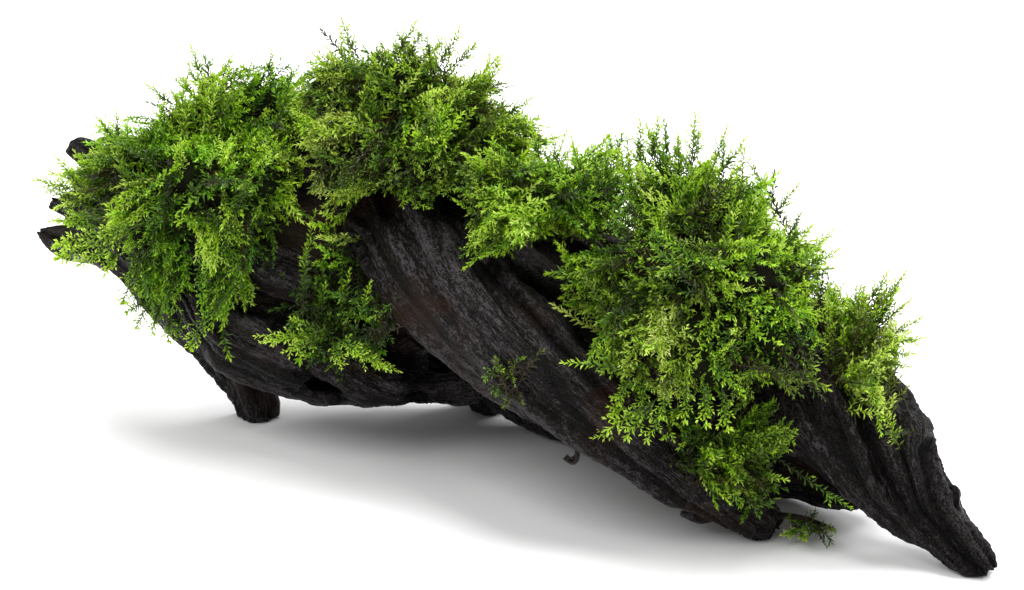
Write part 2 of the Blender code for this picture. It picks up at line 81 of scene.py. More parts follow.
STRANDS: dict[str, list[Station]] = {
    "trunk": strand(
        (-91, 9, 39, 4, 0), (-86, 8.5, 38.5, 7.5, 8), (-76, 8, 37, 11, 25), (-60, 9, 37, 14.5, 45),
        (-42, 11, 38, 17, 65), (-22, 15, 36, 17, 90), (-4, 17, 30, 15, 110), (16, 15, 28, 14, 130),
        (36, 12, 27, 13.5, 150), (54, 8, 25, 11.5, 165),
    ),
    "rear_wall": strand(
        (-50, 19, 26, 8, 0), (-34, 24, 17, 8, 20), (-17, 27, 13, 7.5, 40), (-6, 26, 8.6, 7.5, 50),
        (5, 24, 7.2, 7.5, 60), (20, 20, 8.5, 7.5, 80), (36, 17, 7.4, 7, 95), (50, 13.5, 7.6, 6.2, 110),
        (62, 9, 10, 6.2, 125),
    ),
    "rear_foot": strand(
        (-24, 26, 16, 6, 0), (-21, 30.5, 8, 5.5, 20), (-19, 34, 0, 4.5, 40),
    ),
    "left_body": strand(
        (-64, 5, 27, 6.5, 0), (-55, 2, 21, 8.5, 15), (-43, 1, 19, 9, 30), (-31, 4, 17.5, 8.3, 45),
        (-24, 11, 16.5, 7.5, 60),
    ),
    "left_foot": strand(
        (-85, 7, 31.2, 4.4, 0), (-76, 6.5, 26.8, 5.4, 10), (-67.5, 6.5, 21.4, 5.8, 20),
        (-61.5, 7, 14.5, 5.2, 30), (-58.5, 9, 7, 4.2, 40), (-57.2, 10, 1, 3.6, 50),
    ),
    "low_arm": strand(
        (-44, -2, 22, 5, 0), (-33, -3, 19, 4.2, 25), (-25.5, 1, 14.5, 3.2, 45), (-20, 6, 12.8, 3.2, 60),
        (-14, 13, 13.5, 4.5, 80),
    ),
    "front_root": strand(
        (-35, 10, 48, 7.5, -20), (-22, 2, 43, 9.6, 0), (-8, -6, 37, 9.8, 20), (7, -12, 31, 8.9, 40),
        (20, -14, 25, 7.6, 55), (32, -12, 18, 6.6, 70), (40, -8, 11.5, 5.6, 85),
        (46.5, -3.5, 5.2, 4.2, 95), (50.5, -0.5, 1.2, 3, 100),
    ),
    "right_limb": strand(
        (46, 10, 26, 11, 160), (56, 6, 24, 10.8, 180), (63, 4, 19.5, 9.5, 200), (69.5, 2.5, 14, 8, 220),
        (75, 1.5, 9.2, 6.2, 240), (81, 0.5, 5, 4.5, 260), (88.5, -0.5, 0.6, 1.8, 280),
    ),
    "upper_prong": strand(
        (-86, 8, 38, 5), (-94, 8, 37.5, 3.2, 20), (-99.5, 8, 36.5, 1.2, 40),
    ),
    "lower_prong": strand(
        (-84, 6, 31, 4.5), (-94, 6, 30.5, 2.6, 20), (-101.5, 6, 31.5, 0.8, 40),
    ),
    "broken_stub": strand(
        (-84, 11, 42, 4), (-91, 10.5, 46, 2.6, 20), (-95.5, 10, 48.3, 1.9, 40),
    ),
}


ROOTLETS: dict[str, list[tuple]] = {  # rows of x, y, z and radius
    "hook": [
        (17.5, -13, 21, 0.50), (17.8, -12, 14.6, 0.42), (18, -12, 12.8, 0.42),
        (16.9, -12, 11.8, 0.42), (15.6, -12, 12.9, 0.62),
    ],
    "splinter": [(43, -4.5, 5, 0.8), (39.5, -6.8, 3.6, 0.5), (36, -9, 5, 0.5)],
    "twig": [(48, -1, 3.4, 0.8), (53.1, -2, 5, 0.55), (57.5, -2.6, 5, 0.45), (61.6, -3, 4.2, 0.35)],
}


class Crease(NamedTuple):
    """A fold in the wood, cut into it and darkened with painted shade: its two ends, its half width and
    its depth.
    """

    start: tuple
    end: tuple
    width: float
    depth: float


CREASES = [
    Crease((-23.5, 2.5, 21.5), (-19.5, 3.5, 12.0), 2.2, 2.4),  # beside the low arm
    Crease((-30.0, -1.0, 26.5), (-22.5, 3.0, 20.0), 1.6, 1.8),  # between the band and the left body
    Crease((-18.0, 4.0, 17.5), (-15.5, 5.0, 12.0), 1.2, 1.2),
    Crease((-60.0, 0.0, 23.0), (-50.0, -6.5, 17.0), 1.0, 0.9),  # along the left body
    Crease((60.0, -6.0, 27.0), (66.0, -5.0, 17.0), 1.6, 1.6),  # down the front of the limb
    Crease((70.0, -6.0, 18.0), (80.0, -4.0, 8.0), 1.4, 1.2),
    Crease((-38.0, -5.5, 16.5), (-33.5, -3.0, 14.0), 2.3, 2.2),  # the knot hole in the left body
]


def lattice_noise(points: np.ndarray, seed: int) -> np.ndarray:
    """Give smooth noise between -1 and 1, one lump to each unit cell.

    Args:
        points: the places to read, one row each.
        seed: the number that sets this noise apart from others.

    Returns:
        One value for each place.
    """
    cell = np.floor(points).astype(np.int64)
    part = points - cell
    fade = part * part * (3 - 2 * part)
    total = np.zeros(len(points))
    for corner in itertools.product((0, 1), repeat=3):
        key = cell + np.array(corner)
        mixed = key[:, 0] * 73856093 ^ key[:, 1] * 19349663 ^ key[:, 2] * 83492791 ^ (seed * 40503)
        mixed = ((mixed ^ (mixed >> 13)) * 1274126177) & 0xFFFFFFFF
        mixed ^= mixed >> 16
        value = (mixed & 0xFFFF) / 32767.5 - 1
        weight = np.prod(np.where(np.array(corner) == 1, fade, 1 - fade), axis=1)
        total += value * weight
    return total


class Lumps(NamedTuple):
    """One noise over a surface: the size of its lumps, its shift, and the seed that sets it apart."""

    size: float | tuple[float, float, float]
    shift: float
    seed: int

    def at(self, points: np.ndarray) -> np.ndarray:
        """Read the noise at the points."""
        return lattice_noise(points / np.array(self.size) + self.shift, self.seed)


def unit(vectors: np.ndarray) -> np.ndarray:
    """Scale each vector to a length of 1."""
    return vectors / np.maximum(np.linalg.norm(vectors, axis=-1, keepdims=True), 1e-9)


class Bench:
    """The few steps at the bench that every piece of this object goes through."""

    @staticmethod
    def take_up(item: bpy.types.Object) -> bpy.types.Object:
        """Select the item alone and make it the active one.

        Args:
            item: the item.

        Returns:
            The same item.
        """
        bpy.ops.object.select_all(action="DESELECT")
        item.select_set(True)
        bpy.context.view_layer.objects.active = item
        return item

    @staticmethod
    def lay_out(name: str, data: bpy.types.ID) -> bpy.types.Object:
        """Make an object of a mesh or a curve and put it in the scene.

        Args:
            name: the object's name.
            data: its mesh or curve.

        Returns:
            The object.
        """
        item = bpy.data.objects.new(name, data)
        bpy.context.scene.collection.objects.link(item)
        return item

    @staticmethod
    def join(first: bpy.types.Object, others: list[bpy.types.Object]) -> None:
        """Join the other items to the first.

        Args:
            first: the item that stays.
            others: the items that become part of it.
        """
        Bench.take_up(first)
        for item in others:
            item.select_set(True)
        bpy.ops.object.join()

    @staticmethod
    def work(item: bpy.types.Object, kind: str, **settings: object) -> None:
        """Put a modifier on the item and apply it.

        Args:
            item: the item to work on.
            kind: the modifier's type.
            settings: its settings, by name.
        """
        Bench.take_up(item)
        bpy.ops.object.modifier_add(type=kind)
        modifier = item.modifiers[-1]
        for key, setting in settings.items():
            setattr(modifier, key, setting)
        bpy.ops.object.modifier_apply(modifier=modifier.name)

    @staticmethod
    def merged_copy(name: str, nodes: list[str]) -> bpy.types.Object:
        """Copy solids of the frame into one object, with the doubles of their loose triangles merged.

        Args:
            name: the new object's name.
            nodes: the solids to copy.

        Returns:
            The new object.
        """
        item, *others = [Bench.lay_out(name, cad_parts[node].data.copy()) for node in nodes]
        Bench.join(item, others)
        bpy.ops.object.mode_set(mode="EDIT")
        bpy.ops.mesh.select_all(action="SELECT")
        bpy.ops.mesh.remove_doubles(threshold=0.005 * MM)
        bpy.ops.object.mode_set(mode="OBJECT")
        item.data.materials.clear()
        return item

    @staticmethod
    def swell(item: bpy.types.Object, growth: float) -> None:
        """Move the surface outwards by that many millimetres."""
        Bench.work(item, "DISPLACE", strength=growth * MM, mid_level=0)

    @staticmethod
    def knit(item: bpy.types.Object, cell: float) -> None:
        """Grow the item's shells into one even skin with faces of that size in millimetres."""
        Bench.work(item, "REMESH", mode="VOXEL", voxel_size=cell * MM, use_smooth_shade=True)

    @staticmethod
    def relax(item: bpy.types.Object, rounds: int) -> None:
        """Smooth the steps that the cells left."""
        Bench.work(item, "SMOOTH", factor=0.5, iterations=rounds)

    @staticmethod
    def drop(item: bpy.types.Object) -> None:
        """Take a helper off the bench."""
        bpy.data.objects.remove(item, do_unlink=True)

    @staticmethod
    def rows_of(elements: bpy.types.bpy_prop_collection, key: str) -> np.ndarray:
        """Read one vector of each element, one row each.

        Args:
            elements: a mesh's points or their normals.
            key: the name of the vector.

        Returns:
            The vectors.
        """
        flat = np.empty(len(elements) * 3, np.float32)
        elements.foreach_get(key, flat)
        return flat.reshape(-1, 3).astype(float)

    @staticmethod
    def places_of(item: bpy.types.Object) -> np.ndarray:
        """Give the item's points in millimetres, one row each."""
        return Bench.rows_of(item.data.vertices, "co") / MM

    @staticmethod
    def set_places(item: bpy.types.Object, places: np.ndarray) -> None:
        """Move the item's points to places in millimetres."""
        item.data.vertices.foreach_set("co", (places * MM).astype(np.float32).ravel())
        item.data.update()

    @staticmethod
    def normals_of(item: bpy.types.Object) -> np.ndarray:
        """Give the outward direction at each point."""
        return Bench.rows_of(item.data.vertex_normals, "vector")

    @staticmethod
    def write_values(item: bpy.types.Object, name: str, values: np.ndarray) -> None:
        """Keep one number or one vector for each point as a named attribute.

        Args:
            item: the item.
            name: the attribute's name.
            values: one number or one row for each of its points.
        """
        kind = "FLOAT_VECTOR" if values.ndim == 2 else "FLOAT"
        attribute = item.data.attributes.new(name, kind, "POINT")
        key = "vector" if values.ndim == 2 else "value"
        attribute.data.foreach_set(key, values.astype(np.float32).ravel())


class Shading:
    """The node tree of one finish, built around a single main shader."""

    def __init__(self, name: str) -> None:
        """Start a material.

        Args:
            name: the material's name.
        """
        self.material = bpy.data.materials.new(name)
        self.material.use_nodes = True
        self.tree = self.material.node_tree
        self.shader = self.tree.nodes["Principled BSDF"]
        self.output = self.tree.nodes["Material Output"]

    def node(self, kind: str, values: dict | None = None, **settings: object) -> bpy.types.Node:
        """Add a node.

        Args:
            kind: the node's type.
            values: numbers or colours for its sockets, by name or place.
            settings: its own settings, by name.

        Returns:
            The node.
        """
        made = self.tree.nodes.new(kind)
        for key, setting in settings.items():
            setattr(made, key, setting)
        for socket, value in (values or {}).items():
            made.inputs[socket].default_value = value
        return made

    def link(self, source: Socket, target: Socket) -> None:
        """Join two sockets."""
        self.tree.links.new(source, target)

    def noise(self, where: Socket, scale: float, detail: float, roughness: float = 0.5) -> Socket:
        """Add noise.

        Args:
            where: the coordinates that it reads.
            scale: how many lumps there are to a unit.
            detail: how many finer layers it has.
            roughness: how strong those are.

        Returns:
            The noise's value.
        """
        made = self.node("ShaderNodeTexNoise", {"Scale": scale, "Detail": detail, "Roughness": roughness})
        self.link(where, made.inputs["Vector"])
        return made.outputs["Fac"]

    def ramp(self, source: Socket, stops: list[tuple[float, Colour]]) -> Socket:
        """Turn a value into colours between the stops.

        Args:
            source: the value.
            stops: places from 0 to 1 and the colours there.

        Returns:
            The colour.
        """
        made = self.node("ShaderNodeValToRGB")
        table = made.color_ramp
        while len(table.elements) < len(stops):
            table.elements.new(0.5)
        for element, (place, colour) in zip(table.elements, stops):
            element.position = place
            element.color = (*colour, 1)
        self.link(source, made.inputs["Fac"])
        return made.outputs["Color"]

    def span(self, source: Socket, low: float, high: float, start: float, end: float) -> Socket:
        """Map the values from low to high onto start to end.

        Args:
            source: the value.
            low: the lowest value that is told apart.
            high: the highest.
            start: what the lowest becomes.
            end: what the highest becomes.

        Returns:
            The mapped value.
        """
        values = {"From Min": low, "From Max": high, "To Min": start, "To Max": end}
        made = self.node("ShaderNodeMapRange", values)
        self.link(source, made.inputs["Value"])
        return made.outputs["Result"]

    def blend(
        self, share: Socket, first: Socket | Colour, second: Socket | Colour, how: str = "MIX"
    ) -> Socket:
        """Mix two colours.

        Args:
            share: how much of the second colour shows.
            first: a socket or a plain colour.
            second: a socket or a plain colour.
            how: the way of mixing.

        Returns:
            The mixed colour.
        """
        made = self.node("ShaderNodeMix", data_type="RGBA", blend_type=how)
        self.link(share, made.inputs[0])
        for place, colour in ((6, first), (7, second)):
            if isinstance(colour, tuple):
                made.inputs[place].default_value = (*colour, 1)
            else:
                self.link(colour, made.inputs[place])
        return made.outputs[2]

    def sum_of(self, first: Socket, second: Socket, share: float) -> Socket:
        """Add a share of the second value to the first.

        Args:
            first: the value that stays whole.
            second: the value that is added.
            share: how much of it.

        Returns:
            The sum.
        """
        made = self.node("ShaderNodeMath", {1: share}, operation="MULTIPLY_ADD")
        self.link(second, made.inputs[0])
        self.link(first, made.inputs[2])
        return made.outputs["Value"]

    def polish(self, roughness: float, gleam: float) -> None:
        """Set how rough the surface is and how strongly it mirrors."""
        self.shader.inputs["Roughness"].default_value = roughness
        self.shader.inputs["Specular IOR Level"].default_value = gleam

    def relief(self, height: Socket, depth_mm: float, strength: float) -> None:
        """Let the height, times the depth, tilt the surface.

        Args:
            height: the height at each place.
            depth_mm: how high 1 is.
            strength: how much of the tilt shows.
        """
        made = self.node("ShaderNodeBump", {"Strength": strength, "Distance": depth_mm * MM})
        self.link(height, made.inputs["Height"])
        self.link(made.outputs["Normal"], self.shader.inputs["Normal"])


@dataclass(frozen=True)
class WetDriftwood:
    """Nearly black, soaked wood: fine grain, a thin wet gleam and a few brown and olive patches, with
    painted glints in its grey ridge colour and painted shade in its near-black pit colour, both partly
    the wood's own grain.
    """

    name: str = "wet_driftwood"
    # painted shade: the pit colour darkens cracks, creases and furrows, partly the wood's own dark grain
    shaded_pit: Colour = (0.0008, 0.0006, 0.0006)
    body: Colour = (0.0052, 0.0038, 0.0032)
    # painted glints: the bluish grey ridge colour lights ribs, flutes and raised specks, partly weathered
    # grain
    ridge: Colour = (0.054, 0.048, 0.051)
    rust: Colour = (0.018, 0.0070, 0.0035)
    slime: Colour = (0.012, 0.010, 0.0028)
    gleam: float = 0.10
    fibre_scale: float = 1.1  # this and the next two are read along the grain
    stroke_scale: float = 3.0
    slime_scale: float = 0.16
    speck_scale: float = 2600.0
    patch_scale: float = 55.0
    relief_mm: float = 0.35

    def build(self) -> bpy.types.Material:
        """Make the material.

        Returns:
            The material.
        """
        kit = Shading(self.name)
        grain = kit.node("ShaderNodeAttribute", attribute_name="grain").outputs["Vector"]
        height = kit.node("ShaderNodeAttribute", attribute_name="height").outputs["Fac"]
        place = kit.node("ShaderNodeTexCoord").outputs["Object"]
        shorter = kit.node("ShaderNodeMapping", {"Scale": (1.0, 1.0, 2.2)})
        kit.link(grain, shorter.inputs["Vector"])
        fibres = kit.noise(grain, self.fibre_scale, 5.0, 0.6)
        strokes = kit.noise(shorter.outputs["Vector"], self.stroke_scale, 2.0, 0.6)
        specks = kit.noise(place, self.speck_scale, 2.0, 0.6)
        patches = kit.noise(place, self.patch_scale, 3.0, 0.55)
        rough = kit.sum_of(kit.sum_of(strokes, fibres, 0.6), specks, 0.8)
        rough = kit.span(rough, 0.92, 1.48, 0.0, 1.0)
        # painted light and shade: height and bumps move the colour from pit to ridge, so raised grain
        # shows painted glints and cracks and creases show painted shade
        level = kit.sum_of(kit.span(height, -0.2, 0.6, 0.0, 0.45), rough, 0.55)
        colour = kit.ramp(level, [(0.28, self.shaded_pit), (0.50, self.body), (0.82, self.ridge)])
        rusty = kit.span(patches, 0.56, 0.68, 0.0, 0.7)
        colour = kit.blend(rusty, colour, self.rust)
        slimy = kit.span(kit.noise(grain, self.slime_scale, 2.0), 0.60, 0.66, 0.0, 0.6)
        colour = kit.blend(slimy, colour, self.slime)
        kit.link(colour, kit.shader.inputs["Base Color"])
        wet = kit.sum_of(specks, patches, 0.8)
        kit.link(kit.span(wet, 0.7, 1.1, 0.26, 0.50), kit.shader.inputs["Roughness"])
        kit.shader.inputs["Specular IOR Level"].default_value = self.gleam
        kit.relief(rough, self.relief_mm, 1.0)
        return kit.material


@dataclass(frozen=True)
class MossLeaf:
    """Thin moss leaves, from brown-olive old growth to lime young tips, that let light through."""

    name: str = "moss_leaf"
    old: Colour = (0.030, 0.022, 0.006)
    dark: Colour = (0.026, 0.056, 0.004)
    green: Colour = (0.130, 0.300, 0.008)
    bright: Colour = (0.450, 0.720, 0.020)
    tip: Colour = (0.600, 0.800, 0.110)
    old_olive: Colour = (0.045, 0.028, 0.008)
    dark_olive: Colour = (0.058, 0.056, 0.012)
    olive: Colour = (0.190, 0.215, 0.032)
    bright_olive: Colour = (0.450, 0.530, 0.085)
    olive_tip: Colour = (0.640, 0.720, 0.240)
    ages: tuple[float, ...] = (0.0, 0.28, 0.55, 0.80, 1.0)  # how young a leaf of each colour is
    cool: Colour = (0.45, 0.80, 0.7)
    roughness: float = 0.36
    gleam: float = 0.5
    through: float = 0.42

    def build(self) -> bpy.types.Material:
        """Make the material, which reads a leaf's youth, with painted light and shade mixed in, from u
        and its tint from v of the leaf map.

        Returns:
            The material.
        """
        kit = Shading(self.name)
        leaf_map = kit.node("ShaderNodeUVMap", uv_map="OFBake").outputs["UV"]
        parts = kit.node("ShaderNodeSeparateXYZ")
        kit.link(leaf_map, parts.inputs["Vector"])
        youth, tint = parts.outputs["X"], parts.outputs["Y"]
        greens = (self.old, self.dark, self.green, self.bright, self.tip)
        olives = (self.old_olive, self.dark_olive, self.olive, self.bright_olive, self.olive_tip)
        colour = kit.ramp(youth, list(zip(self.ages, greens)))
        olive = kit.ramp(youth, list(zip(self.ages, olives)))
        colour = kit.blend(kit.span(tint, 0.48, 0.95, 0.0, 0.85), colour, olive)
        colour = kit.blend(kit.span(tint, 0.45, 0.0, 0.0, 0.75), colour, self.cool, "MULTIPLY")
        kit.link(colour, kit.shader.inputs["Base Color"])
        kit.polish(self.roughness, self.gleam)
        through = kit.node("ShaderNodeBsdfTranslucent")
        kit.link(colour, through.inputs["Color"])
        mixed = kit.node("ShaderNodeMixShader", {0: self.through})
        kit.link(kit.shader.outputs["BSDF"], mixed.inputs[1])
        kit.link(through.outputs["BSDF"], mixed.inputs[2])
        kit.link(mixed.outputs["Shader"], kit.output.inputs["Surface"])
        return kit.material


@dataclass(frozen=True)
class OldMatAndShade:
    """The matted old growth under the fronds, coloured near black: partly its own dark colour, partly
    painted shade deep between the fronds.
    """

    name: str = "old_moss_mat_and_shade"
    # painted shade: these near-black colours stand for the shade between the fronds as well as for the
    # old growth's own colour
    dark: Colour = (0.0015, 0.0020, 0.0008)
    brown: Colour = (0.008, 0.006, 0.002)
    green: Colour = (0.008, 0.017, 0.002)
    roughness: float = 0.85
    gleam: float = 0.08
    fibre_scale: float = 1400.0
    patch_scale: float = 160.0
    relief_mm: float = 0.8

    def build(self) -> bpy.types.Material:
        """Make the material.

        Returns:
            The material.
        """
        kit = Shading(self.name)
        place = kit.node("ShaderNodeTexCoord").outputs["Object"]
        fibres = kit.noise(place, self.fibre_scale, 5.0, 0.7)
        patches = kit.noise(place, self.patch_scale, 3.0, 0.5)
        colour = kit.ramp(fibres, [(0.35, self.dark), (0.6, self.brown), (0.8, self.green)])
        colour = kit.blend(kit.span(patches, 0.4, 0.7, 0.0, 0.6), colour, self.green)
        kit.link(colour, kit.shader.inputs["Base Color"])
        kit.polish(self.roughness, self.gleam)
        kit.relief(fibres, self.relief_mm, 1.0)
        return kit.material


def smooth_run(stations: list[Station], step: float = 0.6) -> np.ndarray:
    """Sample a curve through the stations.

    Args:
        stations: the points of the strand's centre line.
        step: the rough distance between two samples, in millimetres.

    Returns:
        One row of x, y, z, radius and turn for each sample.
    """
    rows = []
    last = len(stations) - 1
    table = np.array(stations, float)
    for index in range(last):
        p0, p1 = table[max(index - 1, 0)], table[index]
        p2, p3 = table[index + 1], table[min(index + 2, last)]
        count = max(int(np.linalg.norm(p2[:3] - p1[:3]) / step), 2)
        for t in np.arange(count) / count:
            bend = 2 * p0 - 5 * p1 + 4 * p2 - p3
            twist = 3 * p1 - p0 - 3 * p2 + p3
            rows.append(0.5 * (2 * p1 + (p2 - p0) * t + bend * t * t + twist * t**3))
    rows.append(table[last])
    return np.array(rows)


class Grain:
    """Where each point of the wood lies along and around the strands that it grew in."""

    apart = 40.0  # between the grain of one strand and that of the next
    pressed = 0.1  # how much the grain is pressed together along the strand

    def __init__(self, strands: dict[str, list[Station]]) -> None:
        """Lay out every strand's centre line and the frames along it."""
        self.strands = [self.laid_out(smooth_run(stations)) for stations in strands.values()]

    @staticmethod
    def laid_out(run: np.ndarray) -> dict[str, object]:
        """Work out the directions along one strand.

        Args:
            run: the samples of its centre line.

        Returns:
            The samples' places, radii, lengths from the start and directions, and a search tree.
        """
        places = run[:, :3] + np.array(CENTRING)
        ahead = unit(np.gradient(places, axis=0))
        side = np.empty_like(places)
        previous = np.array((0.0, 0.0, 1.0))
        for index, direction in enumerate(ahead):
            previous = previous - direction * previous.dot(direction)
            previous /= np.linalg.norm(previous)
            side[index] = previous
        turn = np.radians(run[:, 4])[:, None]
        across = np.cross(ahead, side)
        turned = side * np.cos(turn) + across * np.sin(turn)
        steps = np.linalg.norm(np.diff(places, axis=0), axis=1)
        tree = KDTree(len(places))
        for index, place in enumerate(places):
            tree.insert(place, index)
        tree.balance()
        return {
            "places": places,
            "radius": run[:, 3],
            "length": np.concatenate(([0.0], np.cumsum(steps))),
            "side": turned,
            "up": np.cross(ahead, turned),
            "ahead": ahead,
            "tree": tree,
        }

    def read(self, points: np.ndarray) -> tuple[np.ndarray, np.ndarray]:
        """Find the grain at the points.

        Args:
            points: places on the wood, in millimetres.

        Returns:
            A place in the straightened strand for each point, with the length along it pressed together,
            and how far the point stands out of the strand.
        """
        nearest = np.full(len(points), 1e9)
        grain = np.zeros_like(points)
        for number, run in enumerate(self.strands):
            low = run["places"].min(0) - run["radius"].max() - 6
            high = run["places"].max(0) + run["radius"].max() + 6
            near = np.flatnonzero(((points > low) & (points < high)).all(1))
            found = np.array([run["tree"].find(point)[1] for point in points[near]], int)
            if not len(found):
                continue
            offset = points[near] - run["places"][found]
            beyond = np.linalg.norm(offset, axis=1) - run["radius"][found]
            closer = beyond < nearest[near]
            chosen, found, offset = near[closer], found[closer], offset[closer]
            nearest[chosen] = beyond[closer]
            along = run["length"][found] + (offset * run["ahead"][found]).sum(1)
            sideways = (offset * run["side"][found]).sum(1)
            upwards = (offset * run["up"][found]).sum(1)
            around = unit(np.stack((sideways, upwards), axis=1))
            radius = run["radius"].mean()
            grain[chosen] = np.column_stack((around * radius, along * self.pressed + self.apart * number))
        return grain, nearest


@dataclass
class Driftwood:
    """The wood: one weathered skin, carved along the grain and parted at its forks."""

    cell: float = 0.60
    bridging: float = 0.45  # half the width of the gaps that close before the carving
    kerf: float = 0.02
    broad: float = 0.50  # this and the next are heights and depths of the carving
    rib: float = 0.5
    flute: float = 0.75
    crack: float = 1.0
    hair: float = 0.34
    pebble: float = 0.16
    broad_lumps: Lumps = Lumps(4.5, 0, 3)
    rib_lumps: Lumps = Lumps(2.3, 7, 5)
    crack_lumps: Lumps = Lumps(4.2, 31, 7)
    hair_lumps: Lumps = Lumps(1.7, 53, 11)
    pebble_lumps: Lumps = Lumps(1.3, 0, 13)
    grit_lumps: Lumps = Lumps(0.75, 0, 17)
    wander_lumps: Lumps = Lumps((9.0, 9.0, 2.2), 11, 19)
    strength_lumps: Lumps = Lumps((8.0, 8.0, 1.8), 5, 23)
    rib_steepness: float = 2.2
    crack_width: float = 0.13
    hair_width: float = 0.20
    crack_shade_width: float = 0.16  # of the painted shade along a crack
    flute_width: float = 4.6
    flute_wander: float = 2.2
    calm: dict[str, float] = field(  # how much of the flutes is left on smoother strands
        default_factory=lambda: {"right_limb": 0.4, "left_foot": 0.6, "rear_foot": 0.6}
    )
    smooth_angle: float = 55.0
    offcut: int = 400  # points of the largest scrap that the saw may leave
    grain: Grain = field(default_factory=lambda: Grain(STRANDS))
    forks: dict = field(  # sawn in this order, because the other way round the first cut heals
        default_factory=lambda: {
            "right_limb": ((56, 8, 18), (0.96, -0.1, -0.28), 24),
            "front_root": ((6, -11.6, 31.5), (0.9, -0.25, -0.4), 12),
        }
    )
    marks: dict = field(
        default_factory=lambda: {
            "trunk": (-42, 11, 38),
            "front_root": (32, -12, 18),
            "right_limb": (81, 0.5, 5),
        }
    )

    def carve(self, skin: bpy.types.Object) -> None:
        """Cut grooves, cracks and small lumps along the grain, shallower on thin roots.

        Args:
            skin: the whole wood.
        """
        places = Bench.places_of(skin)
        normals = Bench.normals_of(skin)
        along, beyond = self.grain.read(places)
        thick = np.clip(1 - (beyond - 1.5) / 2.5, 0.0, 1.0)
        height = self.broad * self.broad_lumps.at(along)
        height += self.rib * self.ribs(along)
        height += self.flute * self.flutes(along)
        height -= self.crack * self.splits(self.crack_lumps, self.crack_width, along)
        height -= self.hair * self.splits(self.hair_lumps, self.hair_width, along)
        height += self.pebble * self.pebble_lumps.at(places)
        height += 0.5 * self.pebble * self.grit_lumps.at(places)
        for crease in CREASES:
            height -= crease.depth * np.exp(-((self.gap_to(crease, places) / crease.width) ** 2))
        places = places + normals * (height * thick)[:, None]
        places[:, 2] = np.maximum(places[:, 2], 0.0)
        Bench.set_places(skin, places)

    def ribs(self, along: np.ndarray) -> np.ndarray:
        """Give the sharp small ridges along the grain, 1 on a ridge."""
        return 1 - self.rib_steepness * np.abs(self.rib_lumps.at(along))

    @staticmethod
    def splits(lumps: Lumps, width: float, along: np.ndarray) -> np.ndarray:
        """Give the narrow splits where a noise crosses 0, from 1 in a split to 0 beside it."""
        return np.exp(-((lumps.at(along) / width) ** 2))

    def flutes(self, along: np.ndarray) -> np.ndarray:
        """Give the long rounded ridges around every strand, from -0.5 in a furrow to 0.5 on a ridge.

        Args:
            along: places in the straightened strands.

        Returns:
            The height at each place.
        """
        radius = np.hypot(along[:, 0], along[:, 1])
        count = np.round(2 * math.pi * radius / self.flute_width)
        wander = self.flute_wander * self.wander_lumps.at(along)
        strength = np.clip(0.5 + 0.9 * self.strength_lumps.at(along), 0.1, 1.0)
        shares = np.array([self.calm.get(name, 1.0) for name in STRANDS])
        strength *= shares[np.rint(along[:, 2] / Grain.apart - 0.2).astype(int)]
        angle = np.arctan2(along[:, 1], along[:, 0])
        return strength * (np.abs(np.sin(0.5 * count * angle + wander)) - 0.5)

    @staticmethod
    def gap_to(crease: Crease, places: np.ndarray) -> np.ndarray:
        """Give how far each place is from the line of a crease.

        Args:
            crease: the crease.
            places: the places.

        Returns:
            The distances.
        """
        start = np.array(Vector(crease.start) + CENTRING)
        run = np.array(crease.end) - np.array(crease.start)
        share = np.clip(((places - start) @ run) / (run @ run), 0.0, 1.0)
        return np.linalg.norm(places - start - share[:, None] * run, axis=1)

    def grow_rootlet(self, name: str) -> bpy.types.Object:
        """Make one fine root as a tube through its points.

        Args:
            name: its name in the table of rootlets.

        Returns:
            The root.
        """
        points = ROOTLETS[name]
        curve = bpy.data.curves.new(name, "CURVE")
        curve.dimensions = "3D"
        curve.bevel_depth = MM
        curve.bevel_resolution = 2
        curve.use_fill_caps = True
        spline = curve.splines.new("NURBS")
        spline.points.add(len(points) - 1)
        for point, (x, y, z, radius) in zip(spline.points, points):
            point.co = (*((Vector((x, y, z)) + CENTRING) * MM), 1)
            point.radius = radius
        spline.order_u = 3
        spline.use_endpoint_u = True
        Bench.take_up(Bench.lay_out(name, curve))
        bpy.ops.object.convert(target="MESH")
        return bpy.context.active_object

    def add_rootlets(self, piece: bpy.types.Object) -> None:
        """Join the fine roots to the piece that they grow from."""
        Bench.join(piece, [self.grow_rootlet(name) for name in ROOTLETS])

    def write_grain(self, piece: bpy.types.Object) -> None:
        """Keep the grain and, for the finish to read, a height that is high on ribs and flutes and low in
        cracks and creases, which paints glints and shade over the wood's own grain.

        Args:
            piece: the piece of wood.
        """
        places = Bench.places_of(piece)
        along, _ = self.grain.read(places)
        # painted shade: cracks and creases are darkened in the colour as well as cut into the wood
        deep = -self.splits(self.crack_lumps, self.crack_shade_width, along)
        for crease in CREASES:
            deep -= np.exp(-((self.gap_to(crease, places) / crease.width) ** 2))
        height = 0.22 + 0.12 * self.ribs(along) + 0.35 * self.flutes(along) + 0.45 * deep
        Bench.write_values(piece, "grain", along)
        Bench.write_values(piece, "height", height)

    def saw(self, skin: bpy.types.Object) -> None:
        """Part the limbs at their forks with a cut too fine to see.

        Args:
            skin: the whole wood.
        """
        for centre, direction, reach in self.forks.values():
            turn = Vector(direction).to_track_quat("Z", "Y").to_matrix().to_4x4()
            place = Matrix.Translation((Vector(centre) + CENTRING) * MM) @ turn
            size = Matrix.Diagonal((2 * reach * MM, 2 * reach * MM, self.kerf * MM, 1))
            bpy.ops.object.select_all(action="DESELECT")
            bpy.ops.mesh.primitive_cube_add(size=1)
            blade = bpy.context.active_object
            blade.data.transform(place @ size)
            Bench.work(skin, "BOOLEAN", operation="DIFFERENCE", object=blade, solver="MANIFOLD")
            Bench.drop(blade)

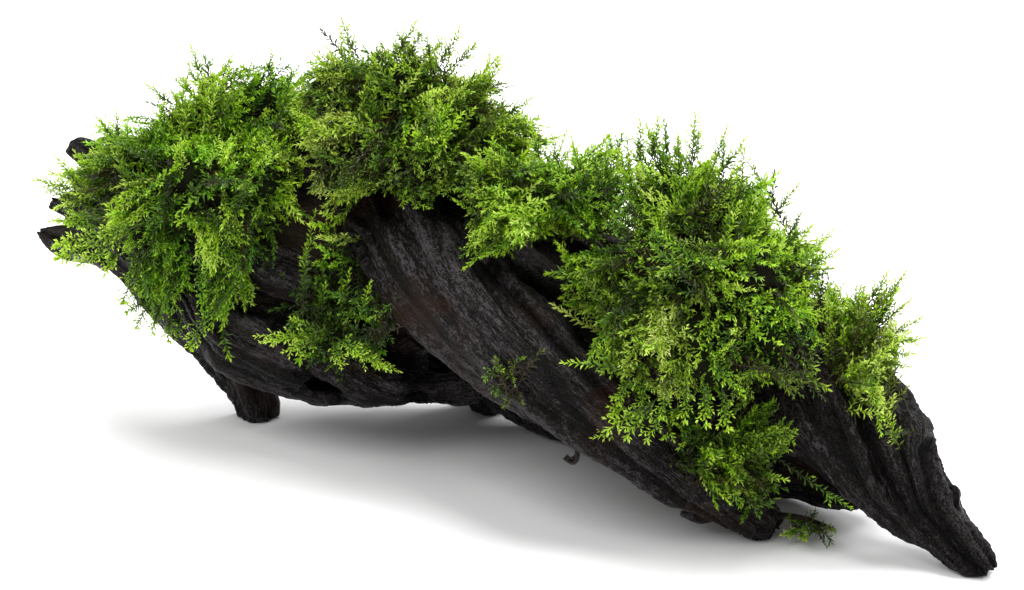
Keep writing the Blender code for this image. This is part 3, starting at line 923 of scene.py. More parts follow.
    def parted(self, skin: bpy.types.Object) -> dict[str, bpy.types.Object]:
        """Split the sawn skin and name its pieces by the marks that lie nearest.

        Args:
            skin: the sawn wood.

        Returns:
            The pieces, by the names of their solids.

        Raises:
            RuntimeError: where the saw left two of them joined.
        """
        Bench.take_up(skin)
        bpy.ops.object.mode_set(mode="EDIT")
        bpy.ops.mesh.select_all(action="SELECT")
        bpy.ops.mesh.separate(type="LOOSE")
        bpy.ops.object.mode_set(mode="OBJECT")
        loose = list(bpy.context.selected_objects)
        pieces = {}
        for name, mark in self.marks.items():
            target = np.array(Vector(mark) + CENTRING)

            def gap(item: bpy.types.Object) -> float:
                """Give the distance from the mark to the item."""
                return np.linalg.norm(Bench.places_of(item) - target, axis=1).min()

            big = [item for item in loose if len(item.data.vertices) > self.offcut]
            pieces[name] = min(big, key=gap)
        if len({item.name for item in pieces.values()}) < len(pieces):
            raise RuntimeError("the saw left two pieces of the wood joined")
        for item in loose:
            if item not in pieces.values():
                Bench.drop(item)
        return pieces

    def build(self) -> dict[str, bpy.types.Object]:
        """Make the three pieces of wood, each in the place of its own solid.

        Returns:
            The pieces, by the names of their solids.
        """
        skin = Bench.merged_copy("driftwood", ["trunk", "front_root", "right_limb"])
        Bench.swell(skin, self.bridging)
        Bench.knit(skin, self.cell)
        Bench.relax(skin, 2)
        Bench.swell(skin, -self.bridging)
        self.carve(skin)
        self.saw(skin)
        pieces = self.parted(skin)
        self.add_rootlets(pieces["front_root"])
        finish = WetDriftwood().build()
        for name, piece in pieces.items():
            piece.name = name + "_wood"
            piece.data.name = piece.name
            self.write_grain(piece)
            piece.data.materials.clear()
            piece.data.materials.append(finish)
            Bench.take_up(piece)
            bpy.ops.object.shade_smooth_by_angle(angle=math.radians(self.smooth_angle))
            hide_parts(name)
            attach(piece, "root")
            LOG.info("%s: %d faces", piece.name, len(piece.data.polygons))
        return pieces


@dataclass(frozen=True)
class FrondForm:
    """The plan of one frond, as grown flat: sizes in millimetres, angles in degrees."""

    length: float
    reach: float  # longest side shoot
    start: float  # share of the stem below the first side shoot
    spacing: float  # between side shoots on one side
    angle: float = 42.0
    leaf: float = 1.5
    leaf_width: float = 0.44
    leaf_spacing: float = 0.31


class FlatFrond:
    """A frond laid flat: its leaves and stems as arrays, ready to be bent along a curve.

    In its own space x runs to the side, y out of the flat and z along the stem.
    """

    leaf_turn = math.radians(137.5)  # from one leaf to the next around the stem
    flatness = 0.62  # how far leaves stand out of the flat, beside how far they reach to the sides
    bare_foot = 0.10  # share of the stem that has no leaves
    last_shoot = 0.92  # share of the stem below the last side shoot
    shoot_reach = (0.45, 1.2)  # how much side shoots vary in length, as shares
    shoot_slope = (0.75, 1.2)  # and in their angle
    shoot_lift = (-0.4, 0.4)  # and out of the flat
    leaf_slope = (38, 66)  # degrees from the twig
    leaf_size = (0.75, 1.2)
    leaf_breadth = (0.8, 1.2)

    def __init__(self, form: FrondForm, draw: np.random.Generator) -> None:
        """Grow a frond.

        Args:
            form: its plan.
            draw: the random numbers.
        """
        self.form = form
        self.leaves: list[tuple] = []
        self.twigs: list[tuple] = []
        stem_end = np.array((0.0, 0.0, form.length))
        self.leafy_twig(np.zeros(3), stem_end, 0.0, draw, bare=self.bare_foot, main=True)
        sides = itertools.cycle((1, -1))
        rise = form.start * form.length
        while rise < form.length * self.last_shoot:
            share = (rise / form.length - form.start) / (1 - form.start)
            swell = min(1.0, 0.55 + 1.8 * share)
            reach = form.reach * swell * (1 - share) ** 0.7 * draw.uniform(*self.shoot_reach)
            if reach > 0.6 * form.leaf + 0.1:
                slope = math.radians(form.angle * draw.uniform(*self.shoot_slope))
                lift = draw.uniform(*self.shoot_lift)
                side = next(sides)
                out = np.array((side * math.sin(slope), lift, math.cos(slope)))
                root = np.array((0.0, 0.0, rise))
                self.leafy_twig(root, root + reach * out, rise / form.length, draw)
            rise += form.spacing * 0.5 * draw.uniform(0.7, 1.3)
        leaves = np.array(self.leaves)
        self.root, self.out, self.face = leaves[:, 0:3], leaves[:, 3:6], leaves[:, 6:9]
        self.size, self.width, self.youth = leaves[:, 9], leaves[:, 10], leaves[:, 11]
        twigs = np.array(self.twigs)
        self.twig_start, self.twig_end = twigs[:, 0:3], twigs[:, 3:6]

    def leafy_twig(
        self,
        start: np.ndarray,
        end: np.ndarray,
        youth: float,
        draw: np.random.Generator,
        bare: float = 0.0,
        main: bool = False,
    ) -> None:
        """Add a twig with narrow leaves all round, which close up towards its tip.

        Args:
            start: where the twig leaves its stem.
            end: its tip.
            youth: how young the frond is where the twig starts, from 0 to 1.
            draw: the random numbers.
            bare: the share of the twig that has no leaves.
            main: whether it is the frond's own stem.
        """
        form = self.form
        axis = end - start
        length = float(np.linalg.norm(axis))
        ahead = axis / length
        side = unit(np.cross((0.0, 1.0, 0.0), ahead))
        face = np.cross(ahead, side)
        self.twigs.append((*start, *end))
        place = bare * length + 0.15
        around = draw.uniform(0, 6.3)
        while place < length:
            share = place / length
            young = youth + (1 - youth) * share * (0.9 if main else 0.75)
            taper = (1.0 if main else 0.8) * (1.0 - 0.30 * share**3)
            slope = math.radians(draw.uniform(*self.leaf_slope) * (1 - 0.45 * share**4))
            round_stem = side * math.cos(around) + face * (self.flatness * math.sin(around))
            out = unit(ahead * math.cos(slope) + round_stem * math.sin(slope))
            upper = unit(ahead - out * float(out @ ahead))
            leaf_face = unit(upper + 0.7 * face + 0.5 * draw.normal(0, 1, 3))
            size = form.leaf * taper * draw.uniform(*self.leaf_size)
            width = form.leaf_width * taper * draw.uniform(*self.leaf_breadth)
            self.leaves.append((*(start + ahead * place), *out, *leaf_face, size, width, young))
            around += self.leaf_turn
            place += form.leaf_spacing
        last_size, last_width = form.leaf * 0.6, form.leaf_width * 0.7
        self.leaves.append((*end, *ahead, *face, last_size, last_width, min(1.0, youth + 0.9)))


class Habit(Enum):
    """The ways that the moss grows here."""

    BRANCHED = "branched"
    PLUME = "plume"
    SHOOT = "shoot"
    SPIRE = "spire"


FORMS: dict[Habit, list[FrondForm]] = {
    Habit.BRANCHED: [
        FrondForm(9, 4.2, 0.25, 3.4),
        FrondForm(12, 5.0, 0.25, 3.8),
        FrondForm(15, 5.6, 0.28, 4.2),
        FrondForm(19, 6.2, 0.30, 4.6),
    ],
    Habit.PLUME: [
        FrondForm(8, 2.6, 0.18, 1.6, 42, 1.05, 0.34, 0.30),
        FrondForm(11, 3.2, 0.20, 1.7, 42, 1.10, 0.34, 0.30),
        FrondForm(15, 3.8, 0.22, 1.8, 42, 1.10, 0.36, 0.31),
    ],
    Habit.SHOOT: [
        FrondForm(7, 0, 1, 9),
        FrondForm(10, 2.6, 0.45, 7.0),
        FrondForm(14, 3.0, 0.45, 8.0),
        FrondForm(18, 3.4, 0.40, 8.0, 42, 1.4, 0.40),
    ],
    Habit.SPIRE: [
        FrondForm(6, 1.8, 0.08, 1.1, 40, 1.05, 0.46, 0.22),
        FrondForm(9, 2.3, 0.10, 1.2, 40, 1.10, 0.46, 0.23),
        FrondForm(13, 2.8, 0.12, 1.3, 40, 1.15, 0.46, 0.24),
    ],
}


class Curves(NamedTuple):
    """Fronds to grow: the three points that bend each one, its face, and its looks."""

    base: np.ndarray
    control: np.ndarray
    tip: np.ndarray
    face: np.ndarray
    vigour: np.ndarray
    tint: np.ndarray


class Foliage:
    """Collects the leaves and twigs of many fronds and makes them one mesh."""

    ground_gap = 0.05
    widening = (0.80, 1.15)  # how much a frond may be narrowed or widened with its length
    droop = 0.03
    stem_radius = 0.13
    stem_points = 7
    stem_taper = 0.75  # how much of its radius a stem loses up to its tip
    twig_radii = (0.09, 0.03)
    twig_tint = 0.1
    twig_youth = (0.8, 0.10)  # the share of its frond's vigour that a twig shows, and its start
    leaf_middle = 0.42  # how far along a leaf it is widest, as a share of its length
    leaf_fold = 0.14  # and how far it stands out there
    leaf_dip = 0.06  # and how far its tip bends back
    leaf_youth = 0.62  # how much younger the last leaf of a frond is than the first
    corner_youth = (-0.10, 0.0, 0.12, 0.0)  # from the foot of a leaf round to its other side
    map_edges = (0.004, 0.996)  # keep the looks inside the border of the leaf map

    def __init__(self) -> None:
        """Start with nothing."""
        self.places: list[np.ndarray] = []
        self.faces: list[np.ndarray] = []
        self.youth: list[np.ndarray] = []
        self.tint: list[np.ndarray] = []
        self.count = 0

    def add(self, places: np.ndarray, faces: np.ndarray, youth: np.ndarray, tint: np.ndarray) -> None:
        """Add triangles.

        Args:
            places: their points.
            faces: three point numbers for each, counted from this call's first point.
            youth: how young each point is, from 0 to 1.
            tint: the tint of each point, from 0, cool, to 1, yellow.
        """
        self.places.append(places)
        self.faces.append(faces + self.count)
        self.youth.append(youth)
        self.tint.append(tint)
        self.count += len(places)

    @staticmethod
    def bend(curves: Curves, share: np.ndarray) -> tuple[np.ndarray, ...]:
        """Give the curves' places and frames.

        Args:
            curves: the fronds' curves.
            share: how far along each frond, one column for each point, from 0 to 1.

        Returns:
            The places on the curve and the directions to the side, out of the face and along it.
        """
        t = np.clip(share, 0.0, 1.0)[None, :, None]
        b, c, p = curves.base[:, None], curves.control[:, None], curves.tip[:, None]
        place = b * (1 - t) ** 2 + c * (2 * t * (1 - t)) + p * t**2
        ahead = unit(2 * (1 - t) * (c - b) + 2 * t * (p - c))
        place = place + ahead * np.maximum(share - 1, 0)[None, :, None]
        face = curves.face[:, None]
        face = unit(face - ahead * (face * ahead).sum(-1, keepdims=True))
        return place, np.cross(face, ahead), face, ahead

    def grow(self, plan: FlatFrond, curves: Curves) -> None:
        """Bend one flat frond along each of the curves.

        Args:
            plan: the flat frond.
            curves: where its copies grow.
        """
        length = plan.form.length
        fronds = len(curves.base)
        scale = np.linalg.norm(curves.tip - curves.base, axis=1) / length
        wide = np.clip(scale, *self.widening)[:, None, None]
        place, side, face, ahead = self.bend(curves, plan.root[:, 2] / length)
        root = place + wide * (side * plan.root[:, 0, None] + face * plan.root[:, 1, None])
        root = root - face * (self.droop * plan.root[:, 0, None] ** 2)
        turned = [
            side * flat[:, 0, None] + face * flat[:, 1, None] + ahead * flat[:, 2, None]
            for flat in (plan.out, plan.face)
        ]
        out, front = turned
        across = unit(np.cross(out, front))
        size = plan.size[:, None] * wide
        width = plan.width[:, None] * wide * 0.5
        middle = root + out * (self.leaf_middle * size) + front * (self.leaf_fold * size)
        tip = root + out * size - front * (self.leaf_dip * size)
        corners = np.stack((root, middle + across * width, tip, middle - across * width), axis=2)
        first = np.arange(fronds * len(plan.size))[:, None] * 4
        faces = np.concatenate((first + np.array((0, 1, 2)), first + np.array((0, 2, 3))))
        young = plan.youth[None, :] * self.leaf_youth + curves.vigour[:, None]
        young = np.repeat(young[:, :, None], 4, axis=2) + np.array(self.corner_youth)
        tint = np.broadcast_to(curves.tint[:, None, None], young.shape)
        self.add(corners.reshape(-1, 3), faces, young.ravel(), tint.ravel())
        self.grow_twigs(plan, curves, wide)

    def grow_twigs(self, plan: FlatFrond, curves: Curves, wide: np.ndarray) -> None:
        """Bend the stems of one flat frond along each of the curves, as slim three-sided tapers.

        Args:
            plan: the flat frond.
            curves: where its copies grow.
            wide: how much each copy is widened.
        """
        length = plan.form.length
        steps = np.linspace(0, 1, self.stem_points)
        stem = self.bend(curves, steps)
        self.add_tapers(stem[0], self.stem_radius * (1 - self.stem_taper * steps), curves)
        start, end = plan.twig_start[1:], plan.twig_end[1:]
        if not len(start):
            return
        place, side, face, _ = self.bend(curves, start[:, 2] / length)
        place_end, side_end, face_end, _ = self.bend(curves, end[:, 2] / length)
        root = place + wide * (side * start[:, 0, None] + face * start[:, 1, None])
        tip = place_end + wide * (side_end * end[:, 0, None] + face_end * end[:, 1, None])
        tip = tip - face_end * (self.droop * end[:, 0, None] ** 2)
        pairs = np.stack((root, tip), axis=2).reshape(-1, 2, 3)
        twigs = len(start)
        wider = Curves(*(np.repeat(values, twigs, axis=0) for values in curves))
        self.add_tapers(pairs, np.array(self.twig_radii), wider)

    def add_tapers(self, lines: np.ndarray, radii: np.ndarray, curves: Curves) -> None:
        """Add a three-sided taper along each line, closed at both ends.

        Args:
            lines: the points of every line.
            radii: the radius at each point of a line.
            curves: the looks of each line.
        """
        count, points = lines.shape[:2]
        ahead = unit(np.gradient(lines, axis=1))
        side = unit(np.cross(ahead, curves.face[:, None] + 0.01))
        up = np.cross(side, ahead)
        turns = np.radians((90.0, 210.0, 330.0))
        ring = side[:, :, None] * np.cos(turns)[:, None] + up[:, :, None] * np.sin(turns)[:, None]
        places = lines[:, :, None] + ring * radii[:, None, None]
        walls = []
        for step in range(points - 1):
            for corner in range(3):
                a, b = step * 3 + corner, step * 3 + (corner + 1) % 3
                walls += [(a, b, b + 3), (a, b + 3, a + 3)]
        end = (points - 1) * 3
        walls += [(2, 1, 0), (end, end + 1, end + 2)]
        faces = (np.arange(count)[:, None, None] * points * 3 + np.array(walls)).reshape(-1, 3)
        shown, start = self.twig_youth
        young = np.repeat(curves.vigour * shown + start, points * 3)
        tint = np.repeat(np.clip(curves.tint + self.twig_tint, 0, 1), points * 3)
        self.add(places.reshape(-1, 3), faces, young, tint)

    def mesh(self, name: str, finish: bpy.types.Material) -> bpy.types.Object:
        """Make one object of all that was added.

        Args:
            name: the object's name.
            finish: its material.

        Returns:
            The object, whose leaf map holds each point's youth, with painted light and shade mixed in,
            and its tint.
        """
        places = np.concatenate(self.places)
        places[:, 2] = np.maximum(places[:, 2], self.ground_gap)
        faces = np.concatenate(self.faces)
        mesh = bpy.data.meshes.new(name)
        mesh.vertices.add(len(places))
        mesh.vertices.foreach_set("co", (places * MM).astype(np.float32).ravel())
        mesh.loops.add(faces.size)
        mesh.loops.foreach_set("vertex_index", faces.astype(np.int32).ravel())
        mesh.polygons.add(len(faces))
        mesh.polygons.foreach_set("loop_start", np.arange(0, faces.size, 3, dtype=np.int32))
        mesh.update(calc_edges=True)
        shades = np.stack((np.concatenate(self.youth), np.concatenate(self.tint)), axis=1)
        shades = np.clip(shades, *self.map_edges)[faces.ravel()]
        layer = mesh.uv_layers.new(name="OFBake")
        layer.data.foreach_set("uv", shades.astype(np.float32).ravel())
        mesh.materials.append(finish)
        return Bench.lay_out(name, mesh)


@dataclass(frozen=True)
class TuftLook:
    """How one tuft looks: how thick it grows and how light and how yellow it is."""

    share: float = 1.0
    vigour: float = 0.0
    tint: float = 0.5
    slot: str = "moss_leaf"
    shag: float = 1.0  # length of its fronds beside the usual


TUFTS: dict[str, TuftLook] = {
    "moss_front_spray": TuftLook(0.62, -0.10, 0.46, "moss_lime", 0.8),
    "moss_left_mound": TuftLook(1.2, 0.05, 0.48, "moss_leaf"),
    "moss_crown": TuftLook(1.2, 0.05, 0.60, "moss_olive"),
    "moss_saddle": TuftLook(1.3, 0.10, 0.48, "moss_leaf"),
    "moss_right_mound": TuftLook(0.91, 0.10, 0.56, "moss_lime"),
    "moss_lower_tuft": TuftLook(1.2, -0.06, 0.46, "moss_leaf"),
    "moss_limb_tuft": TuftLook(1.1, 0.15, 0.64, "moss_lime"),
    "moss_rear_left": TuftLook(1.1, 0.02, 0.48, "moss_leaf"),
    "moss_rear_crown": TuftLook(1.2, 0.02, 0.55, "moss_olive"),
    "moss_rear_right": TuftLook(1.1, 0.03, 0.54, "moss_leaf"),
    "moss_root_sprig": TuftLook(0.5, -0.30, 0.70, "moss_olive", 0.5),
    "moss_twig_fringe": TuftLook(0.8, -0.05, 0.64, "moss_lime", 0.5),
}


class Sprig(NamedTuple):
    """A shoot that stands out in the picture, by the picture places of its foot and its tip."""

    foot: tuple[float, float]
    tip: tuple[float, float]
    toward: float  # how much nearer to the camera the tip is, in millimetres
    habit: Habit
    vigour: float
    tint: float


class ShadePatch(NamedTuple):
    """A patch of painted shade in the picture, where the fronds also sink: its middle, its half width and
    height, how dark.
    """

    across: float
    down: float
    half_width: float
    half_height: float
    depth: float


# painted shade: the dark patches of the picture darken the fronds' colours there as well as sinking them
SHADE_PATCHES = [
    ShadePatch(182, 110, 26, 20, 0.24),
    ShadePatch(238, 196, 36, 34, 0.26),
    ShadePatch(264, 258, 26, 26, 0.20),
    ShadePatch(330, 172, 34, 34, 0.24),
    ShadePatch(384, 150, 36, 34, 0.18),
    ShadePatch(430, 196, 24, 18, 0.16),
    ShadePatch(500, 168, 26, 14, 0.16),
    ShadePatch(560, 212, 26, 14, 0.18),
    ShadePatch(636, 250, 62, 30, 0.30),
    ShadePatch(716, 232, 30, 22, 0.26),
    ShadePatch(770, 276, 24, 22, 0.20),
    ShadePatch(812, 352, 22, 34, 0.26),
    ShadePatch(700, 372, 34, 22, 0.14),
    ShadePatch(604, 330, 24, 26, 0.20),
    ShadePatch(742, 452, 22, 14, 0.16),
    ShadePatch(346, 58, 18, 18, 0.14),
    ShadePatch(412, 86, 24, 18, 0.16),
    ShadePatch(862, 336, 16, 18, 0.14),
]


def sprigs(*rows: tuple) -> list[Sprig]:
    """Give sprigs from rows of the foot and the tip, each across and down, and the other fields."""
    return [Sprig(row[0:2], row[2:4], *row[4:]) for row in rows]


SPRIGS: dict[str, list[Sprig]] = {
    "moss_front_spray": sprigs(
        (301, 311, 315, 212, 2, Habit.SHOOT, 0.22, 0.62),
        (303, 315, 306, 246, 3, Habit.SHOOT, 0.14, 0.56),
        (322, 316, 325, 284, 3, Habit.SHOOT, 0.18, 0.46),
        (336, 322, 349, 271, 4, Habit.SHOOT, 0.28, 0.50),
        (357, 328, 370, 283, 4, Habit.SHOOT, 0.32, 0.50),
        (363, 345, 381, 314, 3, Habit.SHOOT, 0.16, 0.40),
        (327, 335, 256, 336, 3, Habit.PLUME, 0.38, 0.58),
        (328, 338, 262, 342, 4, Habit.SHOOT, 0.38, 0.58),
        (327, 333, 291, 318, 5, Habit.SHOOT, 0.26, 0.60),
        (322, 341, 283, 352, 5, Habit.PLUME, 0.34, 0.62),
        (332, 338, 341, 368, 5, Habit.PLUME, 0.34, 0.54),
        (336, 338, 362, 360, 6, Habit.PLUME, 0.36, 0.52),
        (338, 340, 400, 372, 4, Habit.PLUME, 0.34, 0.50),
        (336, 342, 385, 368, 5, Habit.SHOOT, 0.34, 0.54),
    ),
    "moss_root_sprig": sprigs(
        (518, 386, 542, 351, 0, Habit.SHOOT, -0.16, 0.80),
        (508, 396, 495, 360, 0, Habit.SHOOT, -0.20, 0.80),
        (514, 390, 504, 406, 0, Habit.SHOOT, -0.10, 0.76),
        (516, 386, 522, 402, 0, Habit.SHOOT, -0.12, 0.80),
        (512, 384, 516, 362, 0, Habit.SHOOT, -0.20, 0.74),
    ),
    "moss_right_mound": sprigs(
        (650, 404, 593, 438, 0, Habit.PLUME, 0.26, 0.60),
        (656, 400, 606, 430, -1, Habit.BRANCHED, 0.28, 0.58),
        (660, 396, 626, 438, -1, Habit.BRANCHED, 0.26, 0.56),
        (666, 398, 646, 441, -1, Habit.BRANCHED, 0.28, 0.56),
        (676, 400, 664, 438, -1, Habit.BRANCHED, 0.26, 0.54),
        (640, 388, 612, 414, -1, Habit.BRANCHED, 0.26, 0.56),
        (690, 404, 684, 444, 1, Habit.BRANCHED, 0.24, 0.54),
        (632, 372, 618, 404, -2, Habit.BRANCHED, 0.24, 0.54),
        (650, 372, 638, 412, -2, Habit.BRANCHED, 0.26, 0.56),
        (668, 376, 660, 418, -1, Habit.BRANCHED, 0.24, 0.54),
        (686, 378, 684, 422, 0, Habit.BRANCHED, 0.26, 0.54),
        (704, 380, 706, 426, 2, Habit.BRANCHED, 0.28, 0.56),
        (722, 384, 728, 430, 2, Habit.BRANCHED, 0.26, 0.54),
        (628, 374, 564, 363, 1, Habit.SHOOT, 0.30, 0.56),
        (612, 372, 600, 346, 1, Habit.SHOOT, 0.26, 0.52),
        (640, 160, 640, 121, 0, Habit.SPIRE, 0.28, 0.56),
        (652, 160, 658, 118, 0, Habit.SPIRE, 0.28, 0.62),
        (622, 182, 610, 138, 0, Habit.SPIRE, 0.28, 0.52),
        (630, 186, 627, 136, 1, Habit.PLUME, 0.22, 0.54),
        (624, 192, 596, 146, 1, Habit.PLUME, 0.20, 0.52),
        (640, 200, 618, 150, 2, Habit.BRANCHED, 0.22, 0.52),
        (646, 212, 622, 170, 3, Habit.BRANCHED, 0.20, 0.50),
        (644, 222, 620, 196, -1, Habit.BRANCHED, 0.04, 0.50),
        (642, 230, 616, 216, -1, Habit.BRANCHED, 0.02, 0.50),
        (644, 208, 624, 186, -2, Habit.BRANCHED, 0.04, 0.50),
        (640, 238, 606, 224, 0, Habit.BRANCHED, 0.02, 0.50),
        (646, 218, 608, 204, -1, Habit.BRANCHED, 0.04, 0.50),
        (676, 160, 678, 134, 0, Habit.SPIRE, 0.30, 0.58),
        (691, 168, 695, 113, 0, Habit.SPIRE, 0.28, 0.58),
        (690, 174, 700, 128, 0, Habit.PLUME, 0.18, 0.58),
        (713, 170, 727, 126, 0, Habit.SPIRE, 0.28, 0.60),
        (722, 172, 746, 138, 0, Habit.SPIRE, 0.28, 0.62),
        (737, 206, 743, 175, 0, Habit.PLUME, 0.18, 0.62),
        (752, 208, 766, 174, 0, Habit.SPIRE, 0.28, 0.64),
        (772, 206, 774, 172, 0, Habit.SHOOT, -0.30, 0.50),
        (770, 222, 799, 184, 0, Habit.SPIRE, 0.28, 0.64),
        (786, 240, 812, 226, 0, Habit.SPIRE, 0.30, 0.62),
        (804, 268, 838, 250, 0, Habit.SPIRE, 0.30, 0.60),
        (790, 236, 802, 212, 0, Habit.PLUME, 0.18, 0.60),
    ),
    "moss_saddle": sprigs(
        (600, 200, 590, 142, 0, Habit.PLUME, 0.22, 0.52),
        (608, 210, 606, 144, 1, Habit.BRANCHED, 0.22, 0.54),
        (614, 216, 618, 152, 2, Habit.BRANCHED, 0.22, 0.54),
        (616, 226, 630, 164, 3, Habit.BRANCHED, 0.20, 0.52),
        (622, 222, 634, 184, 4, Habit.PLUME, 0.18, 0.50),
        (606, 228, 632, 206, -1, Habit.BRANCHED, 0.04, 0.50),
        (604, 216, 630, 190, -2, Habit.BRANCHED, 0.04, 0.50),
        (606, 206, 628, 176, -2, Habit.BRANCHED, 0.06, 0.50),
        (608, 236, 630, 226, 0, Habit.BRANCHED, 0.02, 0.50),
        (598, 234, 628, 222, 0, Habit.BRANCHED, 0.04, 0.50),
        (600, 224, 622, 230, 0, Habit.BRANCHED, 0.02, 0.50),
        (600, 196, 626, 176, -1, Habit.BRANCHED, 0.06, 0.50),
        (586, 178, 572, 138, 0, Habit.SPIRE, 0.30, 0.54),
        (560, 168, 552, 136, 0, Habit.SPIRE, 0.30, 0.56),
        (540, 160, 532, 126, 0, Habit.SPIRE, 0.30, 0.56),
    ),
    "moss_limb_tuft": sprigs(
        (872, 360, 881, 433, 3, Habit.SHOOT, 0.24, 0.42),
        (868, 345, 874, 400, 3, Habit.SHOOT, 0.16, 0.44),
        (880, 362, 910, 367, 1, Habit.SPIRE, 0.32, 0.66),
        (880, 352, 914, 354, 1, Habit.SPIRE, 0.32, 0.68),
        (880, 345, 924, 338, 0, Habit.SPIRE, 0.34, 0.70),
        (878, 340, 922, 317, 0, Habit.SPIRE, 0.34, 0.70),
        (876, 330, 911, 299, 0, Habit.SPIRE, 0.32, 0.68),
        (876, 312, 906, 272, 0, Habit.SPIRE, 0.32, 0.66),
        (868, 306, 888, 272, 0, Habit.SPIRE, 0.30, 0.62),
    ),
    "moss_left_mound": sprigs(
        (84, 198, 34, 180, 2, Habit.SPIRE, 0.30, 0.62),
        (88, 204, 42, 186, 3, Habit.PLUME, 0.24, 0.62),
        (84, 202, 38, 179, 3, Habit.PLUME, 0.22, 0.64),
        (80, 188, 56, 157, 0, Habit.SPIRE, 0.30, 0.60),
        (100, 222, 50, 221, 2, Habit.SPIRE, 0.34, 0.54),
        (104, 232, 54, 247, 2, Habit.SPIRE, 0.34, 0.60),
        (108, 240, 56, 259, 2, Habit.SPIRE, 0.34, 0.60),
        (112, 248, 78, 266, 3, Habit.PLUME, 0.26, 0.58),
        (116, 250, 104, 276, 3, Habit.SPIRE, 0.34, 0.60),
        (120, 256, 84, 258, 3, Habit.PLUME, 0.24, 0.56),
        (136, 290, 125, 302, 3, Habit.PLUME, 0.24, 0.60),
        (148, 298, 126, 312, 1, Habit.BRANCHED, 0.26, 0.60),
        (152, 300, 136, 328, 1, Habit.BRANCHED, 0.26, 0.60),
        (160, 306, 152, 334, 2, Habit.BRANCHED, 0.24, 0.58),
        (170, 312, 168, 342, 2, Habit.BRANCHED, 0.24, 0.58),
        (178, 316, 176, 340, 3, Habit.PLUME, 0.20, 0.54),
        (196, 318, 192, 350, 3, Habit.PLUME, 0.20, 0.54),
        (222, 322, 230, 358, 3, Habit.SHOOT, 0.18, 0.56),
        (112, 138, 96, 117, 0, Habit.SPIRE, 0.30, 0.60),
        (118, 138, 116, 111, 0, Habit.SPIRE, 0.30, 0.60),
        (172, 104, 146, 84, 0, Habit.SPIRE, 0.30, 0.60),
        (192, 92, 179, 77, 0, Habit.SPIRE, 0.30, 0.60),
        (203, 78, 191, 46, 0, Habit.SPIRE, 0.30, 0.62),
        (222, 78, 232, 56, 0, Habit.SPIRE, 0.30, 0.58),
        (268, 74, 272, 48, 0, Habit.SPIRE, 0.30, 0.56),
    ),
    "moss_crown": sprigs(
        (352, 60, 342, 20, 0, Habit.SPIRE, 0.28, 0.70),
        (348, 60, 322, 31, 0, Habit.SHOOT, -0.22, 0.50),
        (398, 54, 416, 22, 0, Habit.SPIRE, 0.28, 0.68),
        (404, 56, 396, 30, 0, Habit.PLUME, 0.14, 0.66),
        (430, 64, 427, 36, 0, Habit.PLUME, 0.16, 0.58),
        (440, 66, 460, 28, 0, Habit.SPIRE, 0.26, 0.70),
        (450, 70, 475, 44, 0, Habit.SPIRE, 0.24, 0.66),
        (484, 94, 502, 56, 0, Habit.SPIRE, 0.30, 0.62),
        (506, 116, 532, 98, 0, Habit.SPIRE, 0.30, 0.60),
    ),
    "moss_twig_fringe": sprigs(
        (800, 532, 781, 535, 1, Habit.SPIRE, 0.34, 0.64),
        (800, 532, 806, 540, 1, Habit.SPIRE, 0.34, 0.64),
        (812, 524, 834, 531, 1, Habit.SHOOT, 0.0, 0.70),
        (812, 524, 796, 521, 1, Habit.SHOOT, 0.06, 0.60),
        (820, 526, 830, 543, 1, Habit.SHOOT, 0.04, 0.60),
        (806, 522, 818, 513, 2, Habit.PLUME, -0.06, 0.66),
        (796, 526, 790, 515, 2, Habit.PLUME, 0.0, 0.66),
    ),
    "moss_lower_tuft": sprigs(
        (760, 474, 787, 480, 3, Habit.SHOOT, 0.36, 0.54),
        (764, 450, 774, 452, 2, Habit.SHOOT, 0.30, 0.54),
        (766, 450, 850, 507, 2, Habit.SHOOT, 0.10, 0.50),
    ),
}


@dataclass(frozen=True)
class StudioWhite:
    """The plain pale paint of the floor."""

    name: str = "studio_white"
    tone: Colour = (0.93, 0.93, 0.93)
    roughness: float = 0.9
    gleam: float = 0.1

    def build(self) -> bpy.types.Material:
        """Make the material.

        Returns:
            The material.
        """
        kit = Shading(self.name)
        kit.shader.inputs["Base Color"].default_value = (*self.tone, 1)
        kit.polish(self.roughness, self.gleam)
        return kit.material


class Lamp(NamedTuple):
    """A soft square lamp and its angles around and over the object, in degrees."""

    name: str
    azimuth: float
    elevation: float
    side: float  # in metres
    watts: float


